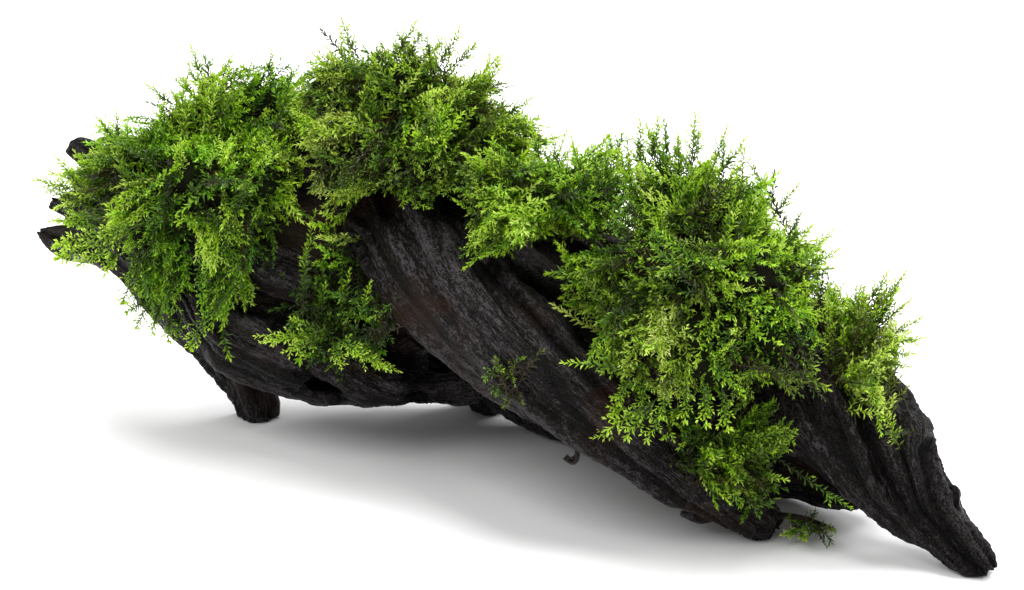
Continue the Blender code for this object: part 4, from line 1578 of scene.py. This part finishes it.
@dataclass
class Studio:
    """The floor, the lights and the camera of the picture."""

    azimuth: float = 25.0
    elevation: float = 20.0
    lens_mm: float = 120.0
    sensor_mm: float = 36.0
    picture_px: tuple = (1024, 590)
    distance_m: float = 0.593
    target_m: tuple = (0.005687, -0.006876, 0.036)
    near_m: float = 0.01  # what is nearer to the camera isn't shown
    floor_m: float = 6.0
    floor_gap_m: float = 0.0002
    lamp_m: float = 1.4
    lamps: tuple[Lamp, ...] = (
        Lamp("top_lamp", 160, 78, 1.1, 36),
        Lamp("front_lamp", -22, 48, 0.9, 12),
        Lamp("rear_lamp", 150, 35, 0.7, 9),
    )
    sky: float = 0.46

    def away(self, azimuth: float, elevation: float) -> Vector:
        """Give the direction from the object to a place seen at those angles, in degrees."""
        turn, rise = math.radians(azimuth), math.radians(elevation)
        return Vector((math.sin(turn) * math.cos(rise), -math.cos(turn) * math.cos(rise), math.sin(rise)))

    def add_camera(self) -> None:
        """Set up the camera at the picture's viewing angle."""
        direction = self.away(self.azimuth, self.elevation)
        bpy.ops.object.camera_add(location=Vector(self.target_m) + direction * self.distance_m)
        camera = bpy.context.active_object
        camera.rotation_mode = "QUATERNION"
        camera.rotation_quaternion = direction.to_track_quat("Z", "Y")
        camera.data.lens = self.lens_mm
        camera.data.sensor_width = self.sensor_mm
        camera.data.clip_start = self.near_m
        bpy.context.scene.camera = camera

    def add_lamp(self, plan: Lamp) -> None:
        """Hang a lamp, turned towards the object.

        Args:
            plan: its place, size and power.
        """
        direction = self.away(plan.azimuth, plan.elevation)
        bpy.ops.object.light_add(type="AREA", location=Vector(self.target_m) + direction * self.lamp_m)
        lamp = bpy.context.active_object
        lamp.name = plan.name
        lamp.rotation_mode = "QUATERNION"
        lamp.rotation_quaternion = direction.to_track_quat("Z", "Y")
        lamp.data.size = plan.side
        lamp.data.energy = plan.watts

    def add_floor(self) -> None:
        """Lay the plain pale floor."""
        bpy.ops.mesh.primitive_plane_add(size=self.floor_m, location=(0, 0, -self.floor_gap_m))
        floor = bpy.context.active_object
        floor.name = "studio_floor"
        floor.data.materials.append(StudioWhite().build())

    def build(self) -> None:
        """Set up the whole studio."""
        self.add_camera()
        self.add_floor()
        for lamp in self.lamps:
            self.add_lamp(lamp)
        world = bpy.data.worlds.new("studio_world")
        world.use_nodes = True
        sky = world.node_tree.nodes["Background"]
        sky.inputs["Color"].default_value = (1, 1, 1, 1)
        sky.inputs["Strength"].default_value = self.sky
        bpy.context.scene.world = world
        bpy.context.scene.view_settings.view_transform = "Standard"


class Solid(NamedTuple):
    """A solid of the frame, ready to be measured: its search tree and its triangles."""

    tree: BVHTree
    corners: np.ndarray  # triangles by corners by axes, in millimetres
    normals: np.ndarray
    areas: np.ndarray


def measured(item: bpy.types.Object) -> Solid:
    """Get an object ready to be measured.

    Args:
        item: the object.

    Returns:
        Its search tree and triangles.
    """
    mesh = item.data
    mesh.calc_loop_triangles()
    places = Bench.places_of(item)
    triangles = np.empty(len(mesh.loop_triangles) * 3, np.int32)
    mesh.loop_triangles.foreach_get("vertices", triangles)
    triangles = triangles.reshape(-1, 3)
    corners = places[triangles]
    crosses = np.cross(corners[:, 1] - corners[:, 0], corners[:, 2] - corners[:, 0])
    areas = np.linalg.norm(crosses, axis=1) / 2
    tree = BVHTree.FromPolygons([Vector(place) for place in places], triangles.tolist())
    return Solid(tree, corners, unit(crosses), areas)


class PictureView:
    """Turns places in the picture into places in the scene, as the studio's camera sees them."""

    cover_gap = 1.0  # how far in front of the wood a shoot stays

    def __init__(self, studio: Studio) -> None:
        """Take the camera's place and directions from the studio.

        Args:
            studio: the studio.
        """
        self.back = np.array(studio.away(studio.azimuth, studio.elevation))
        self.target = np.array(studio.target_m) / MM
        self.eye = self.target + self.back * studio.distance_m / MM
        self.right = unit(np.cross((0.0, 0.0, 1.0), self.back))
        self.up = np.cross(self.back, self.right)
        self.focus = studio.lens_mm / studio.sensor_mm * studio.picture_px[0]
        self.middle = np.array(studio.picture_px) / 2
        self.scale = studio.distance_m / MM / self.focus

    def place_on(self, spot: tuple[float, float], tree: BVHTree) -> np.ndarray:
        """Find where a solid shows at a place in the picture.

        Args:
            spot: the place in the picture, in pixels from its upper left corner.
            tree: the solid's search tree.

        Returns:
            The place in the scene, on the solid where it lies under the spot and near it otherwise.
        """
        hit = tree.ray_cast(Vector(self.eye), Vector(self.ray_to(spot)))[0]
        if hit is None:
            across, down = np.array(spot) - self.middle
            level = self.target + (self.right * across - self.up * down) * self.scale
            hit = tree.find_nearest(Vector(level))[0]
        return np.array(hit)

    def ray_to(self, spot: tuple[float, float]) -> np.ndarray:
        """Give the direction from the camera through a place in the picture."""
        across, down = np.array(spot) - self.middle
        return unit(-self.back * self.focus + self.right * across - self.up * down)

    def place_over(self, spot: tuple[float, float], like: np.ndarray, cover: list[Solid]) -> np.ndarray:
        """Find a place that shows at a spot in the picture and isn't behind the cover.

        Args:
            spot: the place in the picture.
            like: a place in the scene as far away as wanted.
            cover: what may stand in front.

        Returns:
            The place in the scene.
        """
        ray = self.ray_to(spot)
        reach = float((like - self.eye) @ self.back / (ray @ self.back))
        for solid in cover:
            gap = solid.tree.ray_cast(Vector(self.eye), Vector(ray), reach)[3]
            if gap is not None:
                reach = gap - self.cover_gap
        return self.eye + ray * reach

    def painted_shade_at(self, places: np.ndarray) -> np.ndarray:
        """Give how much painted shade each place gets, from the dark patches that the picture shows.

        Args:
            places: places in the scene.

        Returns:
            One number for each place, 0 where no shade is painted.
        """
        ray = places - self.eye
        far = -(ray @ self.back)
        across = self.middle[0] + ray @ self.right / far * self.focus
        down = self.middle[1] - ray @ self.up / far * self.focus
        total = np.zeros(len(places))
        for patch in SHADE_PATCHES:
            apart = ((across - patch.across) / patch.half_width) ** 2
            apart = apart + ((down - patch.down) / patch.half_height) ** 2
            total = np.maximum(total, patch.depth * np.exp(-(apart**2)))
        return total


@dataclass
class MossGrowth:
    """All the moss: a mat and a coat of fronds for each tuft."""

    view: PictureView
    seed: int = 5
    mat_depth: float = 3.0
    mat_cell: float = 1.25
    mat_skin: float = 0.8
    mat_lumps: Lumps = Lumps(2.2, 0, 41)
    mat_grit: Lumps = Lumps(1.1, 0, 43)
    least_mat: int = 60  # cells of the smallest mat
    clumps: Lumps = Lumps(6.5, 0, 61)
    small_clumps: Lumps = Lumps(3.2, 0, 62)
    hues: Lumps = Lumps(14.0, 0, 67)
    old_patches: Lumps = Lumps(10.0, 0, 71)
    habits: tuple = (0.34, 0.26, 0.40)  # shares of branched fronds, plumes and shoots
    lift: tuple = (14, 62)  # degrees over the surface
    steeper: float = 30  # degrees more where the tip stands far out
    lengths: tuple = (8, 17)
    bulge: tuple = (-0.10, 0.26)  # how far a frond bows outwards, as shares of its length
    stray: float = 0.75  # how much neighbours differ in direction
    hang: float = 0.45  # how much fronds droop on the sides of a tuft
    rise: float = 0.2  # and how much they rise on its top
    spacing: float = 1.9
    tries_per_area: float = 1.2
    clearance: float = 1.4  # open space that a tip needs in front of it
    hollow: float = 3.2  # how far the coat sinks between its clumps
    crest: float = 1.6  # how far the highest clumps stand out of the solids
    layers: tuple = ((0.0, 0.60), (1.6, 0.26), (3.2, 0.14))  # each one's depth and share of the fronds
    longest: float = 22.0
    shortest: float = 5.0
    rooting: float = 0.8  # how deep the foot of a frond sits
    sprig_rooting: float = 1.2
    old_and_shade_depth: float = 7.0  # how far a frond sinks at full old growth and at full painted shade
    touching: float = 0.8  # a tip nearer than this to its ground points as the ground does
    outward_mix: tuple = (0.7, 0.6)  # shares of the way out of the ground and of the tip's own
    flank: float = 0.35  # where the sides of a tuft turn into its top
    tall_from: float = 4.5  # how far out a tip is where its frond begins to be steeper
    tall_span: float = 5.0  # and over how much more it gets to the steepest
    wiggle: float = 0.05  # how unevenly a frond bends, as a share of its length
    overshoot: float = 0.6  # how much farther a sprig bows to pass over the wood
    face_stray: float = 0.7  # how much fronds turn their faces
    sprig_stray: float = 0.3  # and how much sprigs do
    youth: float = 0.20  # of a frond before the next four are counted
    # partly painted light and shade: fronds on clumps get lighter colours and those in the hollows
    # between darker ones, partly younger and older growth
    clump_youth_and_painted_light: float = 0.30
    # partly painted shade: fronds of the deeper layers get darker colours, partly older growth
    layer_age_and_painted_shade: float = 0.14
    # partly painted light: fronds on the top of a tuft get lighter colours, partly younger growth
    top_youth_and_painted_light: float = 0.06
    youth_stray: float = 0.07
    patch_age: float = 0.26
    patch_edge: tuple = (0.25, 4)  # the noise where a patch of old growth begins, and how sharply
    hue_reach: float = 0.24
    hue_stray: float = 0.11

    def __post_init__(self) -> None:
        """Set out the random numbers, the finishes and the flat fronds."""
        self.draw = np.random.default_rng(self.seed)
        self.leaf_finish = MossLeaf().build()
        self.mat_finish = OldMatAndShade().build()
        self.plans = {
            habit: [FlatFrond(form, self.draw) for form in forms] for habit, forms in FORMS.items()
        }
        self.bark: list[Solid] = []

    def mat_of(self, node: str) -> bpy.types.Object | None:
        """Make the old growth inside a tuft, whose near-black finish is partly painted shade, or nothing
        where the tuft is too thin for it.

        Args:
            node: the tuft's solid.

        Returns:
            The mat.
        """
        body = measured(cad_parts[node])
        low, high = body.corners.min((0, 1)), body.corners.max((0, 1))
        axes = [np.arange(start, end, self.mat_cell) for start, end in zip(low, high)]
        deep = np.zeros([len(axis) for axis in axes], bool)
        upward = Vector((0, 0, 1))
        for column in np.ndindex(deep.shape[:2]):
            foot = Vector((axes[0][column[0]], axes[1][column[1]], low[2] - 1))
            crossings = []
            hit = body.tree.ray_cast(foot, upward)[0]
            while hit is not None:
                crossings.append(hit.z)
                hit = body.tree.ray_cast(hit + upward * 0.002, upward)[0]
            inside = np.searchsorted(crossings, axes[2]) % 2 == 1
            for level in np.flatnonzero(inside):
                place = Vector((foot.x, foot.y, axes[2][level]))
                deep[column][level] = body.tree.find_nearest(place)[3] > self.mat_depth
        beside = sum(np.roll(deep, step, axis).astype(int) for axis in range(3) for step in (-1, 1))
        deep &= beside > 3
        if deep.sum() < self.least_mat:
            return None
        mat = self.shell_of(node + "_mat", deep, low)
        Bench.knit(mat, self.mat_skin)
        Bench.relax(mat, 8)
        places = Bench.places_of(mat)
        lumps = 0.6 * self.mat_lumps.at(places) + 0.5 * self.mat_grit.at(places)
        Bench.set_places(mat, places + Bench.normals_of(mat) * lumps[:, None])
        return mat

    def shell_of(self, name: str, marked: np.ndarray, low: np.ndarray) -> bpy.types.Object:
        """Make the stepped shell around the marked cells of a grid.

        Args:
            name: the object's name.
            marked: which cells belong to it.
            low: the place of the first cell.

        Returns:
            The object.
        """
        padded = np.pad(marked, 1)
        quads = []
        for axis, sign in itertools.product(range(3), (1, -1)):
            cells = np.argwhere(padded & ~np.roll(padded, -sign, axis)) - 1
            ring = ((0, 0), (1, 0), (1, 1), (0, 1))[::sign]
            corners = np.repeat(cells[:, None], 4, axis=1)
            corners[:, :, axis] += int(sign > 0)
            corners[:, :, [(axis + 1) % 3, (axis + 2) % 3]] += np.array(ring)
            quads.append(corners)
        corners, numbers = np.unique(np.concatenate(quads).reshape(-1, 3), axis=0, return_inverse=True)
        places = (low + (corners - 0.5) * self.mat_cell) * MM
        mesh = bpy.data.meshes.new(name)
        mesh.from_pydata(places.tolist(), [], numbers.reshape(-1, 4).tolist())
        return Bench.lay_out(name, mesh)

    def tips_on(
        self, body: Solid, hidden: list[BVHTree], look: TuftLook
    ) -> tuple[np.ndarray, np.ndarray]:
        """Choose where fronds end on the open side of a tuft.

        Args:
            body: the tuft's solid.
            hidden: the solids that may cover it.
            look: how the tuft looks.

        Returns:
            The places and the outward directions there.
        """
        wanted = int(body.areas.sum() * self.tries_per_area * look.share)
        chosen = self.draw.choice(len(body.areas), wanted, p=body.areas / body.areas.sum())
        mix = self.draw.dirichlet((1, 1, 1), wanted)
        places = (body.corners[chosen] * mix[:, :, None]).sum(1)
        outs = body.normals[chosen]
        kept_places: list[np.ndarray] = []
        kept_outs: list[np.ndarray] = []
        least = self.spacing / math.sqrt(look.share)
        for place, out in zip(places, outs):
            if kept_places:
                gaps = np.linalg.norm(np.array(kept_places) - place, axis=1)
                if gaps.min() < least:
                    continue
            start, way = Vector(place + out * 0.2), Vector(out)
            if any(tree.ray_cast(start, way, self.clearance)[0] is not None for tree in hidden):
                continue
            kept_places.append(place)
            kept_outs.append(out)
        return np.array(kept_places), np.array(kept_outs)

    def curve_to(
        self, tip: np.ndarray, out: np.ndarray, ground: Solid, centre: np.ndarray, look: TuftLook
    ) -> tuple:
        """Plan one frond from the ground to its tip.

        Args:
            tip: where it ends.
            out: the outward direction there.
            ground: what it grows from.
            centre: the middle of the tuft.
            look: how the tuft looks.

        Returns:
            The base, the point that bends it, the tip and its face.
        """
        draw = self.draw
        near, near_out = ground.tree.find_nearest(Vector(tip))[:2]
        outward = tip - np.array(near)
        if np.linalg.norm(outward) < self.touching:
            outward = np.array(near_out)
        from_ground, from_tip = self.outward_mix
        outward = unit(outward * from_ground + unit(out) * from_tip)
        radial = tip - centre
        flow = radial - outward * radial.dot(outward)
        flow = unit(flow) + self.stray * draw.normal(0, 1, 3)
        flow[2] -= self.hang if outward[2] < self.flank else -self.rise
        flow = unit(flow - outward * flow.dot(outward))
        stand = np.linalg.norm(tip - np.array(near))
        steeper = self.steeper * np.clip((stand - self.tall_from) / self.tall_span, 0, 1)
        lift = math.radians(draw.uniform(*self.lift) + steeper)
        ahead = flow * math.cos(lift) + outward * math.sin(lift)
        length = draw.uniform(*self.lengths) * look.shag
        root, root_out = ground.tree.find_nearest(Vector(tip - ahead * length))[:2]
        base = np.array(root) - np.array(root_out) * self.rooting
        chord = tip - base
        if np.linalg.norm(chord) > self.longest:
            base = tip - unit(chord) * self.longest
        if np.linalg.norm(chord) < self.shortest:
            base = tip - unit(chord) * self.shortest
        length = np.linalg.norm(tip - base)
        bulge = draw.uniform(*self.bulge) * length
        control = (base + tip) / 2 + outward * bulge + draw.normal(0, self.wiggle, 3) * length
        face = outward + self.face_stray * draw.normal(0, 1, 3)
        return base, control, tip, face

    def habit_for(self, length: float) -> tuple[Habit, int]:
        """Choose a way of growing and the flat frond nearest to a length."""
        habit = list(Habit)[self.draw.choice(len(self.habits), p=self.habits)]
        return habit, self.nearest_plan(habit, length + self.draw.uniform(-1.0, 1.0))

    def nearest_plan(self, habit: Habit, length: float) -> int:
        """Give the number of the flat frond whose length comes nearest."""
        return int(np.argmin([abs(plan.form.length - length) for plan in self.plans[habit]]))

    def curve_of(self, sprig: Sprig, body: Solid) -> tuple:
        """Plan a shoot that stands out in the picture.

        Args:
            sprig: where it is seen.
            body: its tuft's solid.

        Returns:
            The base, the point that bends it, the tip and its face.
        """
        foot = self.view.place_on(sprig.foot, body.tree)
        base = foot - self.view.back * self.sprig_rooting
        tip = self.view.place_over(sprig.tip, foot + self.view.back * sprig.toward, self.bark)
        length = np.linalg.norm(tip - base)
        spot = (np.array(sprig.foot) + np.array(sprig.tip)) / 2
        halfway = (base + tip) / 2
        middle = self.view.place_over(spot, halfway, self.bark)
        control = middle + self.overshoot * (middle - halfway)
        control += self.draw.normal(0, self.wiggle, 3) * length
        face = self.view.back + self.sprig_stray * self.draw.normal(0, 1, 3)
        return base, control, tip, face

    def coat(self, node: str, ground: Solid, hidden: list[BVHTree], look: TuftLook) -> bpy.types.Object:
        """Cover a tuft with fronds.

        Args:
            node: the tuft's solid.
            ground: what the fronds grow from.
            hidden: the solids that may cover the tuft.
            look: how it looks.

        Returns:
            The fronds as one object.
        """
        body = measured(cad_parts[node])
        tips, outs = self.tips_on(body, hidden, look)
        centre = (body.corners.mean(1) * body.areas[:, None]).sum(0) / body.areas.sum()
        groups: dict[tuple, list] = {}
        depths, shares = zip(*self.layers)
        clump = self.clumps.at(tips) + 0.5 * self.small_clumps.at(tips)
        hue = self.hues.at(tips)
        start, sharpness = self.patch_edge
        age_and_painted_shade = self.patch_age * np.clip(sharpness * (self.old_patches.at(tips) - start), 0, 1)
        # painted shade: the picture's dark patches join the random patches of old growth
        age_and_painted_shade = np.maximum(age_and_painted_shade, self.view.painted_shade_at(tips))
        for index, (tip, out) in enumerate(zip(tips, outs)):
            layer = self.draw.choice(len(depths), p=shares)
            sunken = depths[layer] + self.hollow * max(-clump[index], 0.0) + self.old_and_shade_depth * age_and_painted_shade[index]
            tip = tip - out * sunken
            tip = tip + out * (self.crest * max(out[2], 0.0))
            base, control, tip, face = self.curve_to(tip, out, ground, centre, look)
            habit, number = self.habit_for(float(np.linalg.norm(tip - base)))
            # partly painted light and shade: clumps and tops get lighter colours; hollows, deeper layers
            # and the dark patches get darker ones
            vigour = self.youth + look.vigour + self.clump_youth_and_painted_light * clump[index]
            vigour -= self.layer_age_and_painted_shade * layer
            vigour += self.draw.normal(0, self.youth_stray)
            vigour += self.top_youth_and_painted_light * max(out[2], 0.0)
            vigour -= age_and_painted_shade[index]
            tint = look.tint + self.hue_reach * hue[index] + self.draw.normal(0, self.hue_stray)
            groups.setdefault((habit, number), []).append((base, control, tip, face, vigour, tint))
        for sprig in SPRIGS.get(node, []):
            base, control, tip, face = self.curve_of(sprig, body)
            number = self.nearest_plan(sprig.habit, float(np.linalg.norm(tip - base)))
            row = (base, control, tip, face, sprig.vigour, sprig.tint)
            groups.setdefault((sprig.habit, number), []).append(row)
        foliage = Foliage()
        for (habit, number), rows in groups.items():
            columns = Curves(*(np.array(column) for column in zip(*rows)))
            foliage.grow(self.plans[habit][number], columns)
        LOG.info("%s: %d fronds", node, len(tips))
        return foliage.mesh(node + "_fronds", self.leaf_finish)

    def build(self, wood: dict[str, bpy.types.Object]) -> None:
        """Grow every tuft on the wood.

        Args:
            wood: the pieces of driftwood.
        """
        self.bark = [measured(piece) for piece in wood.values()]
        bodies = {node: measured(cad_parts[node]) for node in TUFTS}
        for node, look in TUFTS.items():
            mat = self.mat_of(node)
            ground = measured(mat) if mat else self.nearest_bark(bodies[node])
            hidden = [piece.tree for piece in self.bark]
            hidden += [body.tree for other, body in bodies.items() if other != node]
            coat = self.coat(node, ground, hidden, look)
            pieces = [coat]
            if mat:
                mat.data.materials.append(self.mat_finish)
                pieces.append(mat)
            for piece in pieces:
                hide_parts(node)
                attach(piece, "root")
                LOG.info("%s: %d faces", piece.name, len(piece.data.polygons))

    def nearest_bark(self, body: Solid) -> Solid:
        """Give the piece of wood that a thin tuft sits on."""
        centre = Vector(body.corners.mean((0, 1)))
        return min(self.bark, key=lambda piece: piece.tree.find_nearest(centre)[3])


def main() -> None:
    """Build the studio, the wood and the moss."""
    logging.basicConfig(level=logging.INFO, format="%(name)s: %(message)s")
    studio = Studio()
    studio.build()
    wood = Driftwood().build()
    MossGrowth(PictureView(studio)).build(wood)
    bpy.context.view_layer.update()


if __name__ == "__main__":
    main()
